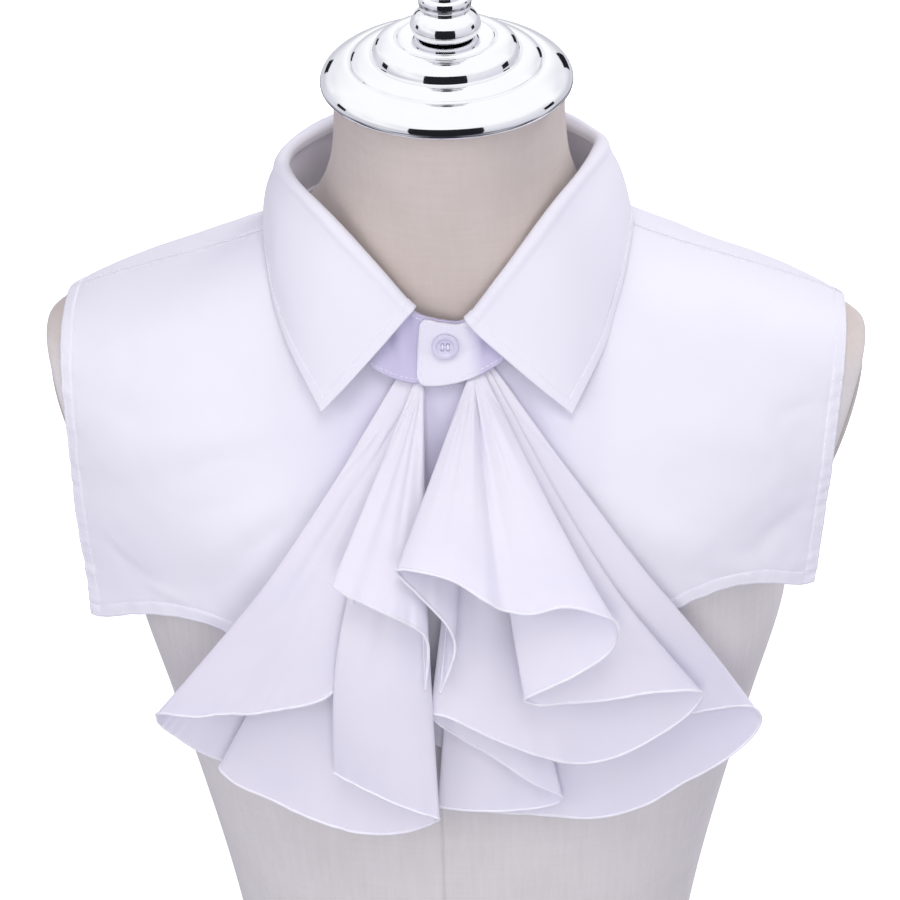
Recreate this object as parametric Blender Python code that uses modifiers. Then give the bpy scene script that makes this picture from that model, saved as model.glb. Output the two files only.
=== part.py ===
"""A jabot collar worn on a limbless dress form.

The garment is a sleeveless shirt front with a turned-down collar on a stand, one button, and two
ruffles that fall from the foot of the stand. It is cut as two fronts, a back, a collar stand, a
collar fall and two ruffle strips, and each of these is one thin wall with its own name. The form
is a covered torso with a flat plate at each arm, and a turned cap and finial on its neck.

The form stands on z = 0 and faces -Y. Sizes are in millimetres until a mesh is made. The cloth is
drawn from the form: each panel is the form's own surface, moved out, and it hangs straight down
from the foremost place that it reaches.
"""

import math

import bmesh
import bpy
import numpy as np
from mathutils import Vector

MM = 0.001


def table(names, rows):
    """A table of sizes as arrays by the names of its columns, of which the first is the key."""
    return dict(zip(names.split(), np.array(rows).T))


# Form, in mm. Each row is one level: half its width, its reach to the front and to the back of
# the side seam, and how square the section is (2 is an ellipse). The arms are cut off by a plane.
FORM_LEVELS = table("level half_width front back squareness", (
    (0.0, 123.0, 92.0, 86.0, 2.15),
    (35.0, 126.0, 94.0, 87.0, 2.15),
    (75.0, 132.0, 97.0, 88.0, 2.15),
    (140.0, 145.0, 102.0, 91.0, 2.10),
    (205.0, 160.0, 107.0, 95.0, 2.05),
    (260.0, 173.0, 111.0, 99.0, 1.98),
    (300.0, 178.0, 111.0, 101.0, 1.92),
    (335.0, 202.0, 106.0, 101.0, 1.88),
    (370.0, 222.0, 94.0, 97.0, 1.90),
    (398.0, 222.0, 82.0, 90.0, 1.95),
    (418.0, 211.0, 72.0, 82.0, 2.0),
    (432.0, 191.0, 66.0, 76.0, 2.0),
    (446.0, 157.0, 61.0, 70.0, 2.0),
    (460.0, 119.0, 59.0, 65.0, 2.0),
    (474.0, 87.0, 59.5, 60.0, 2.0),
    (490.0, 70.5, 61.0, 53.0, 2.0),
    (510.0, 60.5, 63.5, 47.0, 2.0),
    (532.0, 57.0, 67.0, 43.0, 2.0),
    (561.0, 56.5, 71.5, 41.5, 2.0),
))
FORM_TOP = 561.0
NECK_ROOT = 500.0
FORM_SPANS = 40
SHARP_ANGLE = math.radians(50.0)
FORM_RINGS = ((0.0, 300.0, 8), (300.0, 400.0, 5), (400.0, 490.0, 12), (490.0, FORM_TOP, 6))

ARM_LEVEL = 410.0
ARM_REACH = 206.0
ARM_TILT = math.radians(18.0)
ARM_FOOT = 177.0
PLATE_CENTRE_LEVEL = 366.0
PLATE_HALF_WIDTH = 34.0
PLATE_HALF_HEIGHT = 42.0
PLATE_THICKNESS = 3.0
PLATE_ROUNDING = 0.8

CAP_CENTRE_Y = -15.0
CAP_PROFILE = (
    (0.0, 588.2), (22.5, 588.2), (23.7, 587.4), (25.0, 587.2), (31.0, 586.2), (35.4, 583.4),
    (36.6, 580.0), (37.4, 578.6), (45.4, 577.0), (47.0, 575.4), (53.0, 573.6), (59.2, 569.8),
    (61.4, 565.8), (60.6, 562.8), (58.0, 561.4), (0.0, 561.4),
)
FINIAL_PROFILE = (
    (0.0, 644.0), (6.0, 643.2), (10.8, 639.8), (13.0, 634.4), (11.6, 629.0), (7.6, 624.6),
    (7.0, 620.6), (11.6, 617.6), (12.2, 613.8), (9.8, 611.0), (12.2, 608.0), (12.2, 603.4),
    (11.2, 601.2), (15.2, 598.4), (17.1, 593.4), (15.6, 589.6), (14.0, 588.6), (0.0, 588.6),
)
TURNED_STEPS = 24

# Cloth, in mm.
CLOTH = 1.0
STAND_CLOTH = 2.0
SKIN_GAP = 1.9
SEAM = 0.3
PLATE_GAP = 0.8

# The garment sits turned a little to the left on the form, and its collar a little to one side.
TWIST = math.radians(2.0)
COLLAR_SHIFT = -4.8
FALL_SHIFT = -1.8

# Neck seam: an oval that drops onto the form. Collar fold and the fall's outer edge: a row is a
# place round the neck by its angle from the centre front, its distance across, depth and level.
SEAM_HALF_WIDTH = 79.0
SEAM_FRONT = 68.5
SEAM_BACK = 59.0
FOLD_LINE = table("angle across depth left_level right_level", (
    (0.0, 0.0, -67.0, 460.0, 460.0),
    (11.0, 13.0, -66.0, 465.5, 460.5),
    (22.0, 29.0, -62.0, 484.0, 481.0),
    (34.0, 44.0, -55.0, 499.0, 499.0),
    (48.0, 58.0, -43.0, 509.5, 512.5),
    (62.0, 69.0, -27.0, 513.0, 519.0),
    (76.0, 76.0, -9.0, 511.5, 519.5),
    (90.0, 78.5, 5.0, 509.0, 518.0),
    (110.0, 74.0, 21.0, 510.0, 516.0),
    (140.0, 50.0, 46.0, 512.5, 515.0),
    (180.0, 0.0, 57.0, 515.0, 515.0),
))
STAND_START = -8.0
STAND_END = 373.0
STAND_LAP_STEP = 2.5
STAND_LAP_FROM = 20.0
STAND_LAP_TO = 55.0
STAND_FOOT_OUT = 1.8
STAND_FOOT_RISE = 4.0
STAND_STEPS = 50
STAND_ROWS = 4

FALL_START = 11.0
FALL_STEPS = 42
FALL_EDGE = table("angle across depth left_level right_level", (
    (11.0, 61.0, -81.0, 416.5, 415.0),
    (48.0, 79.0, -58.0, 447.0, 447.0),
    (78.0, 88.0, -30.0, 468.0, 470.0),
    (90.0, 90.5, -8.0, 472.0, 474.0),
    (110.0, 87.0, 24.0, 472.0, 474.0),
    (140.0, 62.0, 56.0, 470.0, 470.0),
    (180.0, 0.0, 75.0, 465.0, 465.0),
))
FALL_CLEAR = 6.5
FALL_ROLL = ((-1.0, 1.9), (0.8, 2.1), (2.7, 1.2), (3.9, -3.0))
FALL_BULGE = 2.4
FALL_SHARES = (0.3, 0.65, 1.0)

# Panels, in mm: where each outer edge hangs and how low each hem falls, by the distance from the
# centre front. Image left is the wearer's right.
LAP_ANGLE = 9.5
LAP_STEP = 1.8
LAP_FROM = 16.0
LAP_TO = 44.0
LEAN_FROM = 120.0
LEAN_TOP = 0.15
LEAN_CLEAR = 0.5
PROFILE_STEPS = 160
RIDGE_FOOT = 400.0
RIDGE_STEP = 0.2
REACH_STEP = 2.0
REACH_TOP = 480.0
REACH_FOOT = 150.0
NO_REACH = -100.0
PANEL_ROWS = 15
ROW_SPREAD = 1.35
FRONT_HEM = table("from_centre left_level right_level", (
    (0.0, 234.0, 234.0),
    (60.0, 262.0, 274.0),
    (123.0, 288.0, 309.0),
    (163.0, 281.0, 309.0),
    (191.0, 268.0, 299.0),
))
BACK_HEM = table("from_centre left_level right_level", (
    (0.0, 262.0, 262.0),
    (120.0, 268.0, 276.0),
    (191.0, 262.0, 280.0),
))
EDGE_TOP = 196.0
EDGE_HEM_LEFT = 189.0
EDGE_HEM_RIGHT = 184.0
SHOULDER_BACK = 0.10
NECK_STEPS = 8
SHOULDER_STEPS = 7

# Button, in mm.
BUTTON_RADIUS = 6.6
BUTTON_THICKNESS = 2.4
BUTTON_HOLE_RADIUS = 0.95
BUTTON_HOLE_REACH = 1.9
BUTTON_ANGLE = 2.0
BUTTON_RISE = 0.60
BUTTON_GAP = 0.3

# Ruffles, in mm. A row is one turn or run of the hem, from the free end at the front to the one
# behind: its place across, how far it stands in front of the shirt, and its level.
RUFFLE_LEFT = table("across proud level", (
    (-8.0, 29.0, 295.5),
    (-6.5, 34.0, 327.0),
    (-16.0, 39.0, 338.5),
    (-36.0, 43.0, 348.5),
    (-50.0, 43.0, 351.0),
    (-56.0, 36.0, 325.0),
    (-60.0, 28.0, 288.0),
    (-65.0, 24.5, 275.5),
    (-84.0, 26.5, 268.5),
    (-110.0, 31.0, 258.5),
    (-145.0, 31.0, 247.5),
    (-151.0, 24.0, 237.5),
    (-146.0, 13.0, 221.5),
    (-126.0, 6.0, 208.5),
    (-88.0, 4.5, 208.5),
    (-83.0, 8.0, 209.5),
    (-108.0, 11.0, 211.5),
    (-120.0, 14.0, 210.5),
    (-112.0, 17.5, 205.5),
    (-92.0, 17.0, 199.5),
    (-69.0, 17.0, 193.5),
    (-46.0, 17.0, 190.5),
    (-20.0, 17.0, 195.5),
    (-8.0, 19.0, 204.5),
    (-7.0, 22.0, 209.0),
    (-16.0, 24.5, 214.0),
    (-30.0, 25.0, 221.0),
    (-52.0, 25.0, 229.0),
))
RUFFLE_RIGHT = table("across proud level", (
    (-1.0, 25.5, 291.0),
    (7.0, 31.0, 323.0),
    (-10.0, 39.5, 352.0),
    (-17.0, 43.0, 360.0),
    (-18.0, 47.5, 365.0),
    (-9.0, 52.0, 366.0),
    (8.0, 53.5, 363.0),
    (34.0, 52.5, 349.5),
    (58.0, 49.5, 348.5),
    (77.0, 47.5, 344.5),
    (86.0, 43.5, 335.0),
    (83.0, 39.5, 319.0),
    (66.0, 36.5, 304.5),
    (51.0, 34.5, 295.0),
    (46.0, 31.0, 287.5),
    (52.0, 27.5, 282.5),
    (62.0, 26.0, 281.0),
    (80.0, 26.0, 279.0),
    (107.0, 28.5, 279.0),
    (121.0, 28.5, 275.0),
    (126.0, 25.0, 267.0),
    (120.0, 21.5, 256.0),
    (103.0, 20.0, 243.5),
    (83.0, 18.5, 233.5),
    (66.0, 18.5, 232.5),
    (50.0, 19.0, 240.5),
    (22.0, 20.5, 259.5),
    (5.0, 20.5, 270.0),
    (-4.0, 16.5, 268.0),
    (4.0, 12.5, 254.5),
    (22.0, 12.5, 239.5),
    (46.0, 12.5, 215.5),
    (53.0, 11.0, 206.5),
    (51.0, 8.0, 201.0),
    (40.0, 7.0, 199.5),
    (14.0, 7.5, 200.0),
    (-3.0, 5.5, 201.5),
    (0.0, 3.0, 200.0),
    (14.0, 2.5, 197.5),
    (44.0, 3.0, 193.5),
    (83.0, 4.0, 185.5),
    (103.0, 4.5, 188.5),
    (120.0, 5.0, 197.5),
    (139.0, 6.0, 204.5),
    (153.0, 6.5, 214.5),
    (160.0, 10.0, 230.0),
    (152.0, 14.0, 246.0),
    (134.0, 15.0, 253.5),
))
RUFFLE_STEPS = 86
RUFFLE_ROWS = 9
RUFFLE_SPREAD = 1.2
PATH_WEIGHTS = (1.0, 4.5, 0.7)
RUFFLE_CLOTH = 1.0
RUFFLE_LEFT_APEX = -11.0
RUFFLE_RIGHT_APEX = 8.5
GATHER_LEVEL = 435.5
GATHER_LEFT_DEPTH = -70.5
GATHER_RIGHT_DEPTH = -73.3
GATHER_ACROSS = 0.12
GATHER_DEEP = 2.5
SHIRT_CLEAR = 6.3


def main():
    """Clears the scene, builds every piece and puts it in the garment's collection."""
    clear_scene()
    garment = new_collection("jabot_collar_on_dress_form")
    cutters = new_collection("cutters")
    finish = materials()
    build_form(garment, finish)
    build_panels(garment, finish)
    build_collar(garment, finish)
    build_button(garment, cutters, finish)
    build_ruffles(garment, finish)


# Scene, materials and meshes

def clear_scene():
    """Removes every object that the scene holds."""
    for item in list(bpy.data.objects):
        bpy.data.objects.remove(item, do_unlink=True)


def new_collection(name):
    """Makes a collection in the scene."""
    collection = bpy.data.collections.new(name)
    bpy.context.scene.collection.children.link(collection)
    return collection


def new_material(name, colour, roughness, metallic=0.0):
    """Makes a Principled material of one colour."""
    material = bpy.data.materials.new(name)
    material.use_nodes = True
    shader = material.node_tree.nodes["Principled BSDF"]
    shader.inputs["Base Color"].default_value = (*colour, 1.0)
    shader.inputs["Roughness"].default_value = roughness
    shader.inputs["Metallic"].default_value = metallic
    return material


def materials():
    """The finishes, by name."""
    return {
        "linen": new_material("form_linen", (0.66, 0.62, 0.58), 0.9),
        "plate": new_material("arm_plate_grey", (0.55, 0.55, 0.53), 0.6),
        "chrome": new_material("cap_chrome", (0.80, 0.80, 0.82), 0.08, 1.0),
        "shirting": new_material("white_shirting", (0.90, 0.90, 0.95), 0.8),
        "collar": new_material("white_collar_cloth", (0.92, 0.92, 0.97), 0.8),
        "chiffon": new_material("lilac_white_chiffon", (0.84, 0.83, 0.95), 0.7),
        "button": new_material("white_button", (0.92, 0.92, 0.96), 0.35),
    }


def grid_faces(rows, columns, closed=False):
    """Quads of a grid of rows by columns, joined round the columns where it is closed."""
    faces = []
    last = columns if closed else columns - 1
    for row in range(rows - 1):
        for column in range(last):
            beside = (column + 1) % columns
            faces.append((row * columns + column, row * columns + beside,
                          (row + 1) * columns + beside, (row + 1) * columns + column))
    return faces


def new_object(name, points, faces, material, collection):
    """Makes a smooth-shaded object from points in mm."""
    mesh = bpy.data.meshes.new(name)
    mesh.from_pydata([tuple(point) for point in np.asarray(points) * MM], [], faces)
    mesh.materials.append(material)
    mesh.validate()
    mesh.shade_smooth()
    item = bpy.data.objects.new(name, mesh)
    collection.objects.link(item)
    return item


def cloth_object(name, grid, thickness, material, collection, side=1.0):
    """Makes a wall of cloth on a grid of points.

    The wall is thickened to the side that the grid faces, or to both sides where side is 0.
    """
    rows, columns, _ = grid.shape
    item = new_object(name, grid.reshape(-1, 3), grid_faces(rows, columns), material, collection)
    wall = item.modifiers.new("wall", "SOLIDIFY")
    wall.thickness = thickness * MM
    wall.offset = side
    wall.use_even_offset = False
    return item


# Curves and tables

def through(sizes, column, at):
    """Smooth curve through one column of a table, read at values of the table's first column.

    The curve is a cubic between rows, with the slope at a row taken from its two neighbours.
    """
    where, value = next(iter(sizes.values())), sizes[column]
    slope = np.gradient(value, where)
    at = np.clip(np.asarray(at, float), where[0], where[-1])
    left = np.clip(np.searchsorted(where, at, side="right") - 1, 0, len(where) - 2)
    span = where[left + 1] - where[left]
    t = (at - where[left]) / span
    return ((2 * t**3 - 3 * t**2 + 1) * value[left] + (t**3 - 2 * t**2 + t) * span * slope[left]
            + (3 * t**2 - 2 * t**3) * value[left + 1] + (t**3 - t**2) * span * slope[left + 1])


def smooth_step(value, low, high):
    """0 below low, 1 above high, and a soft rise between."""
    t = np.clip((np.asarray(value, float) - low) / (high - low), 0.0, 1.0)
    return t * t * (3 - 2 * t)


def moved_out(grid, distance):
    """A grid moved along its own normals, which are worked out from the grid's two directions."""
    down = np.gradient(grid, axis=0)
    along = np.gradient(grid, axis=1)
    normal = np.cross(along, down)
    length = np.linalg.norm(normal, axis=2, keepdims=True)
    return grid + normal / np.maximum(length, 1e-9) * np.asarray(distance)


def resampled(line, count, spread, skip):
    """A polyline with the given number of points, less its first part.

    Args: line, the points; count, how many to return; spread, over 1 for points that lie closer
    at the start; skip, the length that is left out there.
    """
    steps = np.linalg.norm(np.diff(line, axis=0), axis=1)
    run = np.concatenate([[0.0], np.cumsum(steps)])
    at = skip + (run[-1] - skip) * np.linspace(0.0, 1.0, count) ** spread
    return np.stack([np.interp(at, run, line[:, axis]) for axis in range(line.shape[1])], axis=1)


# Dress form

def form_width(level):
    """Half the form's width at a level, before the arms are cut off."""
    return through(FORM_LEVELS, "half_width", level)


def form_front(x, level):
    """Depth of the form's front surface at a distance from the centre and a level."""
    reach = through(FORM_LEVELS, "front", level)
    power = through(FORM_LEVELS, "squareness", level)
    share = np.clip(np.abs(x) / form_width(level), 0.0, 1.0)
    return -reach * (1.0 - share**power) ** (1.0 / power)


def form_back(x, level):
    """Depth of the form's back surface at a distance from the centre and a level."""
    reach = through(FORM_LEVELS, "back", level)
    power = through(FORM_LEVELS, "squareness", level)
    share = np.clip(np.abs(x) / form_width(level), 0.0, 1.0)
    return reach * (1.0 - share**power) ** (1.0 / power)


def arm_plane(level):
    """Distance from the centre at which the arm is cut off at a level."""
    return max(ARM_FOOT, ARM_REACH - (ARM_LEVEL - level) * math.tan(ARM_TILT))


def form_ring(level):
    """One closed section of the form, flattened where the arm is cut off."""
    angle = np.linspace(0.0, 2 * math.pi, FORM_SPANS, endpoint=False)
    power = through(FORM_LEVELS, "squareness", level)
    side, depth = np.cos(angle), np.sin(angle)
    x = form_width(level) * np.sign(side) * np.abs(side) ** (2 / power)
    reach = np.where(depth < 0, through(FORM_LEVELS, "front", level), through(FORM_LEVELS, "back", level))
    y = reach * np.sign(depth) * np.abs(depth) ** (2 / power)
    x = np.clip(x, -arm_plane(level), arm_plane(level))
    return np.stack([x, y, np.full_like(x, level)], axis=1)


def build_form(collection, finish):
    """The covered torso, the two arm plates, the neck cap and the finial."""
    levels = [np.linspace(low, high, count, endpoint=False) for low, high, count in FORM_RINGS]
    rings = [form_ring(level) for level in np.append(np.concatenate(levels), FORM_TOP)]
    points = np.concatenate(rings)
    faces = grid_faces(len(rings), FORM_SPANS, closed=True)
    faces.append(tuple(reversed(range(FORM_SPANS))))
    top = (len(rings) - 1) * FORM_SPANS
    faces.append(tuple(range(top, top + FORM_SPANS)))
    torso = new_object("torso_form", points, faces, finish["linen"], collection)
    torso.data.set_sharp_from_angle(angle=SHARP_ANGLE)
    for side, name in ((-1, "arm_plate_left"), (1, "arm_plate_right")):
        arm_plate(name, side, finish["plate"], collection)
    turned("neck_cap", CAP_PROFILE, finish["chrome"], collection)
    turned("finial", FINIAL_PROFILE, finish["chrome"], collection)


def arm_plate(name, side, material, collection):
    """A flat oval plate that covers the end of an arm, lying on the plane that cuts it off."""
    outline = bpy.data.curves.new(name, "CURVE")
    outline.dimensions = "2D"
    outline.fill_mode = "BOTH"
    outline.extrude = (PLATE_THICKNESS / 2 - PLATE_ROUNDING) * MM
    outline.bevel_depth = PLATE_ROUNDING * MM
    outline.bevel_resolution = 1
    outline.resolution_u = 6
    oval = outline.splines.new("BEZIER")
    oval.bezier_points.add(3)
    corners = ((1, 0), (0, 1), (-1, 0), (0, -1))
    round_handle = 0.5523
    half = (PLATE_HALF_WIDTH * MM, PLATE_HALF_HEIGHT * MM)
    for point, (across, up) in zip(oval.bezier_points, corners):
        centre = Vector((across * half[0], up * half[1], 0.0))
        turn = Vector((-up * half[0], across * half[1], 0.0)) * round_handle
        point.co = centre
        point.handle_left = centre - turn
        point.handle_right = centre + turn
    oval.use_cyclic_u = True
    shape = bpy.data.objects.new(name + "_outline", outline)
    collection.objects.link(shape)
    shape.rotation_euler = (math.radians(90), 0.0, math.radians(90) * side)
    bpy.context.view_layer.update()
    plate = mesh_from(shape, name, material, collection)
    away = PLATE_GAP + PLATE_THICKNESS / 2
    lean = side * ARM_TILT
    plate.rotation_euler = (0.0, lean, 0.0)
    reach = arm_plane(PLATE_CENTRE_LEVEL)
    plate.location = Vector((side * (reach + away * math.cos(ARM_TILT)), 0.0,
                             PLATE_CENTRE_LEVEL - away * math.sin(ARM_TILT))) * MM


def mesh_from(shape, name, material, collection):
    """Makes a closed mesh object from a curve object, with its turn in the mesh."""
    depsgraph = bpy.context.evaluated_depsgraph_get()
    mesh = bpy.data.meshes.new_from_object(shape.evaluated_get(depsgraph))
    work = bmesh.new()
    work.from_mesh(mesh)
    bmesh.ops.remove_doubles(work, verts=work.verts, dist=1e-6)
    bmesh.ops.transform(work, matrix=shape.matrix_world, verts=work.verts)
    bmesh.ops.recalc_face_normals(work, faces=work.faces)
    work.to_mesh(mesh)
    work.free()
    bpy.data.objects.remove(shape)
    mesh.name = name
    mesh.materials.clear()
    mesh.materials.append(material)
    item = bpy.data.objects.new(name, mesh)
    collection.objects.link(item)
    return item


def turned(name, profile, material, collection):
    """A turned piece: a profile of distance out and level, from its top down, spun round Z."""
    mesh = bpy.data.meshes.new(name)
    points = [(out * MM, 0.0, level * MM) for out, level in profile]
    mesh.from_pydata(points, [(at, at + 1) for at in range(len(points) - 1)], [])
    mesh.materials.append(material)
    item = bpy.data.objects.new(name, mesh)
    item.location = (0.0, CAP_CENTRE_Y * MM, 0.0)
    collection.objects.link(item)
    spin = item.modifiers.new("turn", "SCREW")
    spin.steps = TURNED_STEPS
    spin.render_steps = TURNED_STEPS
    spin.use_merge_vertices = True
    spin.merge_threshold = 0.00001
    return item


# Neck seam and collar

def turned_on_form(x, y, shift):
    """A place of the garment, turned with it on the form and moved aside."""
    return (x * math.cos(TWIST) - y * math.sin(TWIST) + shift,
            x * math.sin(TWIST) + y * math.cos(TWIST))


def form_level(x, y):
    """Level of the form's surface under a place, below the neck."""
    profile, top = form_profile(x)
    half = profile[:top + 1][::-1] if y > profile[top, 0] else profile[top:]
    low = half[half[:, 1] < NECK_ROOT]
    reach = np.maximum.accumulate(np.abs(low[:, 0]))
    return float(np.interp(abs(y), reach, low[:, 1]))


def neck_seam(angle):
    """The neck seam, by angle in degrees from the centre front: an oval that lies on the form."""
    around = np.radians(np.asarray(angle, float))
    depth = np.where(np.cos(around) > 0, SEAM_FRONT, SEAM_BACK)
    x, y = turned_on_form(SEAM_HALF_WIDTH * np.sin(around), -depth * np.cos(around), COLLAR_SHIFT)
    level = [form_level(*place) for place in zip(x, y)]
    return np.stack([x, y, level], axis=-1)


def placed(sizes, angle, shift):
    """Places of the collar by angle, read from a table that holds both of its sides."""
    angle = np.asarray(angle, float)
    size = np.abs(angle)
    across = np.sign(angle) * through(sizes, "across", size)
    x, y = turned_on_form(across, through(sizes, "depth", size), shift)
    left, right = through(sizes, "left_level", size), through(sizes, "right_level", size)
    return np.stack([x, y, np.where(angle < 0, left, right)], axis=-1)


def around_out(angle):
    """The level direction that points out of the collar at an angle."""
    around = np.radians(np.asarray(angle, float)) + TWIST
    return np.stack([np.sin(around), -np.cos(around), np.zeros_like(around)], axis=-1)


def stand_grid():
    """Middle of the collar stand, from its upper end at the button to the end that goes under."""
    angle = np.linspace(STAND_START, STAND_END, STAND_STEPS)
    wrapped = (angle + 180.0) % 360.0 - 180.0
    base = neck_seam(wrapped) + around_out(wrapped) * STAND_FOOT_OUT
    base[:, 2] += STAND_FOOT_RISE
    rise = np.linspace(0.0, 1.0, STAND_ROWS)[:, None, None]
    grid = base + (placed(FOLD_LINE, wrapped, COLLAR_SHIFT) - base) * rise
    return grid + around_out(wrapped) * lap_over(angle)[:, None], around_out(wrapped)


def lap_over(angle):
    """How far the collar is lifted off its middle line where its upper end laps the other."""
    return STAND_LAP_STEP * (1.0 - smooth_step(angle, STAND_LAP_FROM, STAND_LAP_TO))


def on_stand(angle, share, away):
    """A place over the stand and the way it faces: by angle, share of its height and distance."""
    base = neck_seam([angle]) + around_out([angle]) * STAND_FOOT_OUT
    base[:, 2] += STAND_FOOT_RISE
    rise = Vector((placed(FOLD_LINE, [angle], COLLAR_SHIFT) - base)[0])
    along = Vector((0.0, 0.0, 1.0)).cross(Vector(around_out(angle)))
    normal = along.cross(rise).normalized()
    return Vector(base[0]) + rise * share + normal * away, normal


def build_collar(collection, finish):
    """The collar stand and the fall that turns down over it."""
    middle, out = stand_grid()
    grid = middle - out * STAND_CLOTH / 2
    cloth_object("collar_stand", grid, STAND_CLOTH, finish["collar"], collection)
    fall = fall_grid()[:, ::-1]
    cloth_object("collar_fall", fall, CLOTH, finish["collar"], collection)


def fall_grid():
    """The collar fall, from one front edge round the back to the other.

    It starts over the top of the stand, rolls outwards, and comes down to its outer edge, which
    lies over the shoulders and runs forwards and down to a point at each front.
    """
    angle = np.linspace(FALL_START, 360.0 - FALL_START, FALL_STEPS)
    wrapped = (angle + 180.0) % 360.0 - 180.0
    out = around_out(wrapped)
    top = placed(FOLD_LINE, wrapped, COLLAR_SHIFT) + out * lap_over(angle)[:, None]
    lift = np.cross(out, np.gradient(top, axis=0))
    lift /= np.linalg.norm(lift, axis=1, keepdims=True)
    edge = fall_edge(wrapped)
    rows = [top + lift * up + out * away for away, up in FALL_ROLL]
    for share in FALL_SHARES:
        bulge = FALL_BULGE * math.sin(math.pi * share)
        rows.append(rows[len(FALL_ROLL) - 1] * (1 - share) + edge * share + out * bulge)
    return np.stack(rows)


def fall_edge(angle):
    """The fall's outer edge: it lies on the shirt round the back and over the shoulders.

    From each shoulder it runs forwards and down to the point of the collar.
    """
    edge = placed(FALL_EDGE, angle, FALL_SHIFT)
    shirt = [form_level(x, y) + FALL_CLEAR for x, y, _ in edge]
    edge[:, 2] = np.maximum(edge[:, 2], shirt)
    return edge


# Shirt panels

def form_profile(x):
    """The form cut at a distance from the centre, from the foot of its back over the top.

    Returns the depth and level of each point, and the number of the point at the top.
    """
    top = ridge_level(abs(x))
    drop = (top - REACH_FOOT) * np.linspace(0.0, 1.0, PROFILE_STEPS) ** 2
    level = top - drop
    front = np.stack([form_front(x, level), level], axis=1)
    back = np.stack([form_back(x, level), level], axis=1)
    return np.concatenate([back[::-1], front[1:]]), len(level) - 1


def ridge_level(x):
    """The highest level at which the form is as wide as x, found along its shoulder."""
    level = np.arange(RIDGE_FOOT, FORM_TOP, RIDGE_STEP)
    wide = form_width(level) >= x
    return level[wide][-1]


def hung(profile, sign):
    """A profile hung as cloth: it never comes back in below the foremost place it reaches."""
    line = profile.copy()
    line[:, 0] = sign * np.maximum.accumulate(sign * line[:, 0])
    return line


def hung_reach(x, level, sign):
    """How far out cloth hangs from the form at a place: the furthest reach at or above it.

    The reach is worked out once on a grid of places and read from it in between. The sign is -1
    at the front and 1 at the back.
    """
    across = np.arange(0.0, ARM_REACH, REACH_STEP)
    down = np.arange(REACH_TOP, REACH_FOOT, -REACH_STEP)
    side = form_front if sign < 0 else form_back
    reach = sign * side(across[None, :], down[:, None])
    reach = np.where(form_width(down)[:, None] > across[None, :], reach, NO_REACH)
    reach = np.maximum.accumulate(reach, axis=0)
    column = np.clip(np.abs(x) / REACH_STEP, 0.0, len(across) - 1.001)
    row = np.clip((REACH_TOP - level) / REACH_STEP, 0.0, len(down) - 1.001)
    left, high = column.astype(int), row.astype(int)
    part, drop = column - left, row - high
    upper = reach[high, left] * (1 - part) + reach[high, left + 1] * part
    lower = reach[high + 1, left] * (1 - part) + reach[high + 1, left + 1] * part
    return upper * (1 - drop) + lower * drop


def panel_column(start, hem, sign):
    """One run of a panel, from a point on the form down to its hem.

    Args: start, the point where it begins; hem, the level at which it ends; sign, -1 for a
    front and 1 for a back.
    """
    x = start[0]
    profile, top = form_profile(x)
    if sign > 0:
        profile = profile[::-1]
    begin = int(np.argmin(np.linalg.norm(profile - start[1:], axis=1)))
    line = hung(np.concatenate([[start[1:]], profile[begin + 1:]]), sign)
    floor = int(np.argmax(line[:, 1] <= hem))
    line = line[:floor + 1]
    line[-1, 1] = hem
    line = resampled(line, PANEL_ROWS, ROW_SPREAD, SEAM)
    return np.stack([np.full(len(line), x), line[:, 0], line[:, 1]], axis=1)


def panel_grid(side, sign, first_angle):
    """One half of a panel, from an angle of the neck seam by the centre out to its edge."""
    if sign < 0:
        hem_table, angles = FRONT_HEM, np.linspace(first_angle, 90.0, NECK_STEPS + 1)
    else:
        hem_table, angles = BACK_HEM, 180.0 - np.linspace(first_angle, 90.0, NECK_STEPS + 1)
    hem_column = "left_level" if side < 0 else "right_level"
    edge_hem = EDGE_HEM_LEFT if side < 0 else EDGE_HEM_RIGHT
    neck = neck_seam(side * angles)
    x = np.linspace(neck[-1, 0], side * EDGE_TOP, SHOULDER_STEPS + 1)[1:]
    y = neck[-1, 1] + np.abs(x - neck[-1, 0]) * SHOULDER_BACK
    shoulder = np.stack([x, y, [form_level(*place) for place in zip(x, y)]], axis=-1)
    columns = []
    for start in np.concatenate([neck, shoulder]):
        hem = float(through(hem_table, hem_column, abs(start[0])))
        columns.append(panel_column(start, hem, sign))
    grid = np.stack(columns, axis=1)
    lean = (EDGE_TOP - edge_hem) * smooth_step(np.abs(grid[..., 0]), LEAN_FROM, EDGE_TOP)
    drop = (grid[:1, :, 2] - grid[..., 2]) / (grid[:1, :, 2] - grid[-1:, :, 2])
    grid[..., 0] -= side * lean * drop
    reach = hung_reach(grid[..., 0], grid[..., 2], sign) + LEAN_CLEAR
    reach = np.where(drop > LEAN_TOP, reach, NO_REACH)
    grid[..., 1] = sign * np.maximum(sign * grid[..., 1], reach)
    return grid


def build_panels(collection, finish):
    """The two fronts, the wearer's left over the right, and the back."""
    for side, name, over in ((-1, "front_panel_left", 0.0), (1, "front_panel_right", LAP_STEP)):
        grid = panel_grid(side, -1, -LAP_ANGLE)
        grid = grid[:, ::-1] if side > 0 else grid
        near = 1.0 - smooth_step(side * grid[..., 0], LAP_FROM, LAP_TO)
        grid = moved_out(grid, (SKIN_GAP + over * near)[..., None])
        cloth_object(name, grid, CLOTH, finish["shirting"], collection)
    left = panel_grid(-1, 1, 0.0)
    right = panel_grid(1, 1, 0.0)
    back = np.concatenate([left[:, ::-1], right[:, 1:]], axis=1)
    back = moved_out(back, SKIN_GAP)
    cloth_object("back_panel", back, CLOTH, finish["shirting"], collection)


# Button

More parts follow.
